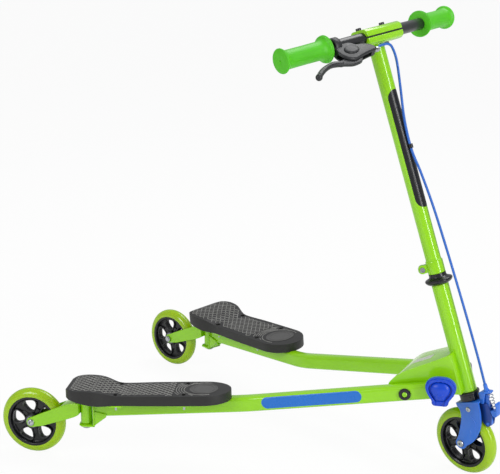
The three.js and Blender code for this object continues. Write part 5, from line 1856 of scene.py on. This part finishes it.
@dataclass
class BrakeHandle:
    """Lever and perch on the bar's right side, in the lever's frame."""

    # Place of the lever's pivot: out along the bar and away from it.
    along: float = 81.0
    away: float = 21.0
    bar_radius: float = 10.15
    perch: Table = (
        (112.3, 2), (116, 14), (116.4, 26), (110, 39), (97, 45.6), (79, 41.4), (60, 38), (47.4, 36.4),
        (43.4, 30), (47, 23), (58, 16), (72, 13.4), (78, 7.4), (91, 2))
    slot: Table = (
        (124, 25), (110, 20), (100, 15.6), (92, 11.6), (72, 11.6), (56.4, 23), (56.4, 55), (124, 55))
    cap: Table = ((0, 6.6), (9.6, 6.6), (9.6, 8.6), (8.6, 9.6), (6.0, 9.9), (0, 10.0))
    barrel: Table = (
        (1.7, 0), (3.4, 0), (3.6, 0.4), (3.6, 3), (4.6, 3.6), (4.6, 7), (3.6, 7.6), (3.2, 11.8), (1.7, 12))
    blade: Table = (
        (76, 21), (79, 17.4), (84, 17), (92, 18.6), (100, 24), (108, 31), (116, 35.2), (124, 36.4),
        (130, 34.6), (137, 33.4), (150.8, 36), (164.6, 40.4), (176, 46.4), (182.4, 52), (181.4, 59.4),
        (174, 56), (167, 51.4), (156, 46), (146, 43), (137, 42.4), (126, 45), (115, 48.8), (106, 51.4),
        (95, 51), (84.8, 48), (77.6, 39.6), (73.6, 30))
    palm: Table = (
        (121, 39.4), (130, 37.4), (140, 36.4), (152, 38.6), (165, 42.8), (176, 48.4), (180, 53), (176, 55.4),
        (166, 49.6), (154, 44), (142, 41.2), (130, 42.6), (122, 45))

    def holder(self, place: Matrix) -> None:
        """Makes the moulded perch with its clamping ring, slot, caps and adjuster.

        Args:
            place: Frame that the pieces are set into.
        """
        body = Workpiece.plate(smooth(self.perch, 5, closed=True), -7.6, 7.6).rounded(3.2, 4, 40)
        body.cut(Workpiece.plate(self.slot, -3.6, 3.6))
        body.cut(Workpiece.rod(self.bar_radius, 20, 160, 48).moved(ALONG_X))
        clamp = [(self.bar_radius, 99.0), (13.8, 99.0), (14.6, 100.0), (14.6, 111.0), (13.8, 112.0),
                 (self.bar_radius, 112.0)]
        body.joined(Workpiece.turned(clamp, 56).moved(ALONG_X))
        for side in (1, -1):
            oval = shift(self.along + 9, self.away + 3) @ Matrix.Diagonal((1.5, 1, side, 1))
            body.joined(Workpiece.turned(self.cap, 48).moved(oval))
        body.installed("lever_perch_moulding", place, "steering", LEVER_NYLON, "lever_perch", crease=40)
        barrel = Workpiece.turned(self.barrel, 24).moved(shift(34.4, 31) @ ALONG_X)
        barrel.installed("cable_adjuster", place, "steering", BRIGHT_ZINC)

    def build(self, layout: Layout) -> None:
        """Makes the perch and the curved lever with its ball end.

        Args:
            layout: Frames of the sub-assemblies.
        """
        place = layout.lever()
        self.holder(place)
        blade = Workpiece.plate(smooth(self.blade, 4, closed=True), -3.0, 3.0).rounded(1.6, 3, 40)
        palm = Workpiece.plate(smooth(self.palm, 4, closed=True), -4.6, 4.6).rounded(1.8, 3, 40)
        blade.joined(palm, Workpiece.ball(5.6, (181.6, 56.0, 0)))
        blade.installed("brake_lever_blade", place, "hand_lever", LEVER_NYLON, "brake_lever", crease=45)


@dataclass
class FrontEnd:
    """Fork, brake bracket, shoe, spring and cable at the front wheel."""

    inner_half: float = 13.2
    plate: float = 3.0
    crown_top: float = 84.6
    axle: tuple[float, float] = (-33.532, 10.708)
    shoe_pivot: tuple[float, float] = (27.6, 42.4)
    # Radii about the axle between which the pad lies, and of the side plates' inner edge.
    pad: tuple[float, float] = (61.6, 66.6)
    shoe_inner: float = 61.8
    # Outlines from the side: forward and up from the drawing's zero.
    fork_back: Table = (
        (-21, 84.6), (-20.4, 79), (-16.6, 72), (-16.4, 64), (-19.6, 53), (-25.4, 41), (-34, 26),
        (-43.4, 14.6))
    fork_front: Table = (
        (-24.6, 5), (-8, 12.4), (4.6, 22.6), (14.5, 35.4), (20.5, 48), (24.6, 66), (26, 84.6))
    # Radius, first and last degree, steps, middle and thickness of each line pressed into the blades.
    pressed: tuple[tuple[float, float, float, int, tuple[float, float], float], ...] = (
        (13.0, -40, 60, 12, (-4.0, 47.0), 0.5), (5.0, -60, 40, 10, (-10.0, 31.0), 0.45))
    flange: Table = ((26.2, -9), (32, -9), (43, -6.4), (48.4, -4), (48.4, 4), (43, 6.4), (32, 9), (26.2, 9))
    cheek: Table = ((26.2, 79.0), (31.0, 79.0), (39.0, 97.0), (26.2, 97.0))
    cable_stop: Table = (
        (2.5, 98.9), (5, 98.9), (5, 101), (3.9, 102.2), (3.5, 104), (3.6, 107), (3.1, 111.2), (2.5, 111.4))
    shoe_edge: Table = (
        (19.2, 72.0), (22.0, 78.5), (35.0, 78.5), (37.6, 68.0), (38.6, 56.0), (35.4, 48.0), (33.2, 43.0),
        (31.0, 38.8), (27.0, 37.2))
    spring_cup: Table = (
        (38.8, 62.0), (40.6, 55.4), (44.0, 53.6), (47.4, 54.0), (49.8, 57.0), (51.4, 62.0), (53.6, 69.0),
        (54.4, 76.0), (52.6, 78.0), (51.4, 75.0), (51.0, 70.6), (50.4, 66.6), (47.6, 64.6), (43.4, 65.2),
        (39.0, 65.0))
    # Middle, radius, lower and upper end of the spring.
    spring_size: tuple[float, float, float, float] = (43.4, 3.9, 67.4, 95.1)
    spring_turns: int = 5
    steps_per_turn: int = 28
    spring_wire: float = 0.75
    cable_radius: float = 2.2
    # Radius, lower and upper end of the clip on the cable, and its place.
    clip: tuple[float, float, float] = (3.6, 524.0, 531.0)
    clip_place: tuple[float, float] = (16.6, -0.4)
    cable_route: Table = (
        (27.5, -31.5, 693.5), (25, -22, 698.6), (23, -10, 699.2), (22.4, 3, 698.2), (22.6, 11, 691),
        (22.6, 13.4, 668), (20.6, 7.6, 625), (17.6, 1.2, 580), (16.2, -0.8, 545), (16.6, -0.4, 515),
        (21, 1.6, 480), (26.2, 3.4, 420), (30.4, 3.6, 340), (34.6, 2.6, 240), (37.2, 1, 160), (37.6, 0, 122),
        (37.6, 0, 101.5))

    def fork(self, place: Matrix) -> None:
        """Makes the folded fork with its pressed arcs and crown screws.

        Args:
            place: Frame that the pieces are set into.
        """
        half = self.inner_half + self.plate
        nose = arc(10.6, 158, 328, 20, self.axle)
        outline = [*smooth(self.fork_back, 5)[:-1], *nose, *smooth(self.fork_front, 5)[1:]]
        body = Workpiece.slab(outline, -half, half).rounded(1.6, 4, 40)
        gap = (-self.inner_half, self.inner_half)
        body.cut(Workpiece.block((-80, 60), gap, (-20, self.crown_top - self.plate)))
        for side in Side:
            for radius, start, end, steps, middle, thickness in self.pressed:
                bow = [Vector((p.x, side.sign * half, p.y)) for p in arc(radius, start, end, steps, middle)]
                body.joined(Workpiece.tube(bow, thickness, 2))
        body.installed("fork_blades", place, "steering", BLUE_POWDER_COAT, "fork")
        head = [(0, half - 0.4), (4.4, half - 0.4), (4.4, half + 0.8), (3.2, half + 1.6), (0, half + 1.8)]
        for side in Side:
            screw = Workpiece.cross_head(head, 2.2, 0.5, half + 0.9, 32)
            screw.moved(shift(2.0, 0, 72.0) @ turn(-90 * side.sign, "X"))
            screw.installed(f"{side.value}_crown_screw", place, "steering", BRIGHT_ZINC)

    def bracket(self, place: Matrix) -> None:
        """Makes the brake bracket with its cheeks, flange, tongue and cable stop.

        Args:
            place: Frame that the pieces are set into.
        """
        wall = Workpiece.block((26.2, 29.2), (-9, 9), (80, 99)).rounded(0.7, 2)
        flange = Workpiece.plate(self.flange, 96, 99).rounded(0.9, 2)
        cheeks = [Workpiece.slab(self.cheek, y, y + 2.4).rounded(0.6, 2, 50) for y in (-9.0, 6.6)]
        x, z = self.shoe_pivot
        outline = [(37.5, 97.0), (36.6, 80.0), (34.0, 60.0), (x + 4.6, z - 1.0), (x, z - 5.0), (x - 4.6, z),
                   (26.4, 60.0), (27.4, 80.0), (27.5, 97.0)]
        tongue = Workpiece.slab(smooth(outline, 4), -3, 3).rounded(0.6, 2, 50)
        stop = Workpiece.turned(self.cable_stop, 32).moved(shift(37.6))
        wall.joined(flange, *cheeks, tongue, stop, Workpiece.slab(ring(2.6, 24, self.shoe_pivot), -7.6, 7.6))
        wall.installed("brake_bracket_plates", place, "steering", BLUE_POWDER_COAT, "brake_bracket")

    def shoe(self, place: Matrix) -> None:
        """Makes the brake arm: two side plates over the pad, and the cup under the spring.

        Args:
            place: Frame that the pieces are set into.
        """
        inner, outer = self.pad
        pad = [*arc(outer, 33, 50, 8, self.axle), *arc(inner, 50, 33, 8, self.axle)]
        plate = [*arc(self.shoe_inner, 25, 50, 12, self.axle), *self.shoe_edge]
        sides = [Workpiece.slab(plate, y, y + 2.6).rounded(0.5, 2, 50) for y in (-6.2, 3.6)]
        body = Workpiece.slab(pad, -5, 5).rounded(0.7, 2).joined(*sides)
        # The plates and the pad carry a darker blue as painted shade; the cup keeps the brighter blue of the
        # same moulding.
        body.installed("brake_shoe_arm", place, "brake_shoe", BLUE_NYLON_PAINTED_SHADE, "brake_arm")
        cup = Workpiece.slab(smooth(self.spring_cup, 3, closed=True), -6.2, 6.2).rounded(0.8, 2, 50)
        cup.installed("brake_spring_cup", place, "brake_shoe", BLUE_POWDER_COAT, slot="brake_blue")

    def spring(self, place: Matrix) -> None:
        """Makes the coil spring between shoe and bracket.

        Args:
            place: Frame that the pieces are set into.
        """
        middle, radius, low, high = self.spring_size
        count = self.spring_turns * self.steps_per_turn
        coil = arc(radius, 0, 360 * self.spring_turns, count, (middle, 0))
        path = [p + UP * (low + (high - low) * i / count) for i, p in enumerate(coil)]
        wire = Workpiece.tube(path, self.spring_wire, 3)
        wire.installed("coil_spring", place, "steering", BRIGHT_ZINC, "brake_spring")

    def cable(self, place: Matrix) -> None:
        """Makes the brake cable and the clip that holds it to the stem.

        Args:
            place: Frame that the pieces are set into.
        """
        jacket = Workpiece.tube(smooth(self.cable_route, 10), self.cable_radius, 4)
        jacket.installed("brake_cable_jacket", place, "steering", BLUE_PVC, "brake_cable", crease=60)
        clip = Workpiece.rod(*self.clip, 24).moved(shift(*self.clip_place))
        clip.installed("cable_clip", place, "steering", BLACK_NYLON)

    def build(self, layout: Layout) -> None:
        """Makes the front end."""
        place = layout.steering()
        for make in (self.fork, self.bracket, self.shoe, self.spring, self.cable):
            make(place)


# Studio.


@dataclass
class Studio:
    """White room, soft lamps and the camera at the photograph's place."""

    eye: tuple[float, float, float] = (924.79, -1957.13, 951.91)
    aim: tuple[float, float, float] = (-54.62, 0.0, 374.61)
    lens: float = 90.95
    floor: float = 40.0
    # Height in metres that the lamps face.
    lamp_aim: float = 0.35
    # Share of plain white in what the camera sees of the floor; the rest keeps the shadow.
    floor_white: float = 0.93
    # Place in metres, width, height and power of each lamp.
    lamps: tuple[tuple[tuple[float, float, float], float, float, float], ...] = (
        ((2.7, -1.0, 1.5), 0.35, 2.6, 44.0), ((-1.2, -2.8, 2.0), 1.4, 1.6, 34.0),
        ((0.2, 1.4, 2.9), 2.0, 1.2, 34.0))

    def camera(self) -> None:
        """Sets up the camera."""
        eye, aim = Vector(self.eye) * MM, Vector(self.aim) * MM
        bpy.ops.object.camera_add(location=eye)
        camera = bpy.context.object
        camera.rotation_euler = (aim - eye).to_track_quat("-Z", "Y").to_euler()
        camera.data.lens = self.lens
        camera.data.sensor_width = 36.0
        camera.data.clip_end = 100.0
        bpy.context.scene.camera = camera

    def white(self) -> bpy.types.Material:
        """Pale floor paint that looks white to the camera and keeps the shadow.

        Returns:
            The new material.
        """
        material = bpy.data.materials.new("studio_white")
        material.use_nodes = True
        tree = material.node_tree
        paint = tree.nodes["Principled BSDF"]
        feed(tree, paint, {"Base Color": linear("f4f4f2"), "Roughness": 0.9})
        glow = add_node(tree, "Emission", {"Color": linear("ffffff"), "Strength": 1.0})
        seen = add_node(tree, "LightPath").outputs["Is Camera Ray"]
        share = add_node(tree, "Math", {0: seen, 1: self.floor_white}, operation="MULTIPLY")
        mix = add_node(tree, "MixShader", {0: share.outputs[0], 1: paint.outputs[0], 2: glow.outputs[0]})
        feed(tree, tree.nodes["Material Output"], {"Surface": mix.outputs[0]})
        return material

    def room(self) -> None:
        """Lays the floor and lights the air around it."""
        bpy.ops.mesh.primitive_plane_add(size=self.floor, location=(0, 0, -0.0005))
        floor = bpy.context.object
        floor.name = "studio_floor"
        floor.data.materials.append(self.white())
        world = bpy.data.worlds.new("studio_air")
        bpy.context.scene.world = world
        world.use_nodes = True
        tree = world.node_tree
        tree.nodes.clear()
        fill, white = (
            add_node(tree, "Background", {"Color": linear(colour), "Strength": strength})
            for colour, strength in (("f3f5f8", 0.5), ("ffffff", 1.0)))
        path = add_node(tree, "LightPath").outputs
        seen = add_node(
            tree, "Math", {0: path["Is Camera Ray"], 1: path["Is Transmission Ray"]}, operation="MAXIMUM")
        mix = add_node(tree, "MixShader", {0: seen.outputs[0], 1: fill.outputs[0], 2: white.outputs[0]})
        add_node(tree, "OutputWorld", {"Surface": mix.outputs[0]})

    def build(self) -> None:
        """Makes the studio, with soft lamps that face the scooter."""
        bpy.context.scene.view_settings.view_transform = "Standard"
        self.camera()
        self.room()
        for place, width, height, power in self.lamps:
            bpy.ops.object.light_add(type="AREA", location=place)
            lamp = bpy.context.object
            lamp.data.shape = "RECTANGLE"
            lamp.data.size, lamp.data.size_y = width, height
            lamp.data.energy = power
            lamp.rotation_euler = (UP * self.lamp_aim - Vector(place)).to_track_quat("-Z", "Y").to_euler()


def main() -> None:
    """Builds the studio and every sub-assembly."""
    logging.basicConfig(level=logging.INFO, format="%(name)s: %(message)s")
    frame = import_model()
    for obj in frame["nodes"].values():
        obj.select_set(False)
    layout = Layout(frame)
    Studio().build()
    for assembly in (
        Wheel(), CasterYoke(), Leg(), Footboard(), HeadFrame(), Knob(), SteeringColumn(), HandleBar(),
        BrakeHandle(), FrontEnd(),
    ):
        assembly.build(layout)
        LOG.info("%s is built", type(assembly).__name__)
    bpy.context.view_layer.update()


if __name__ == "__main__":
    main()
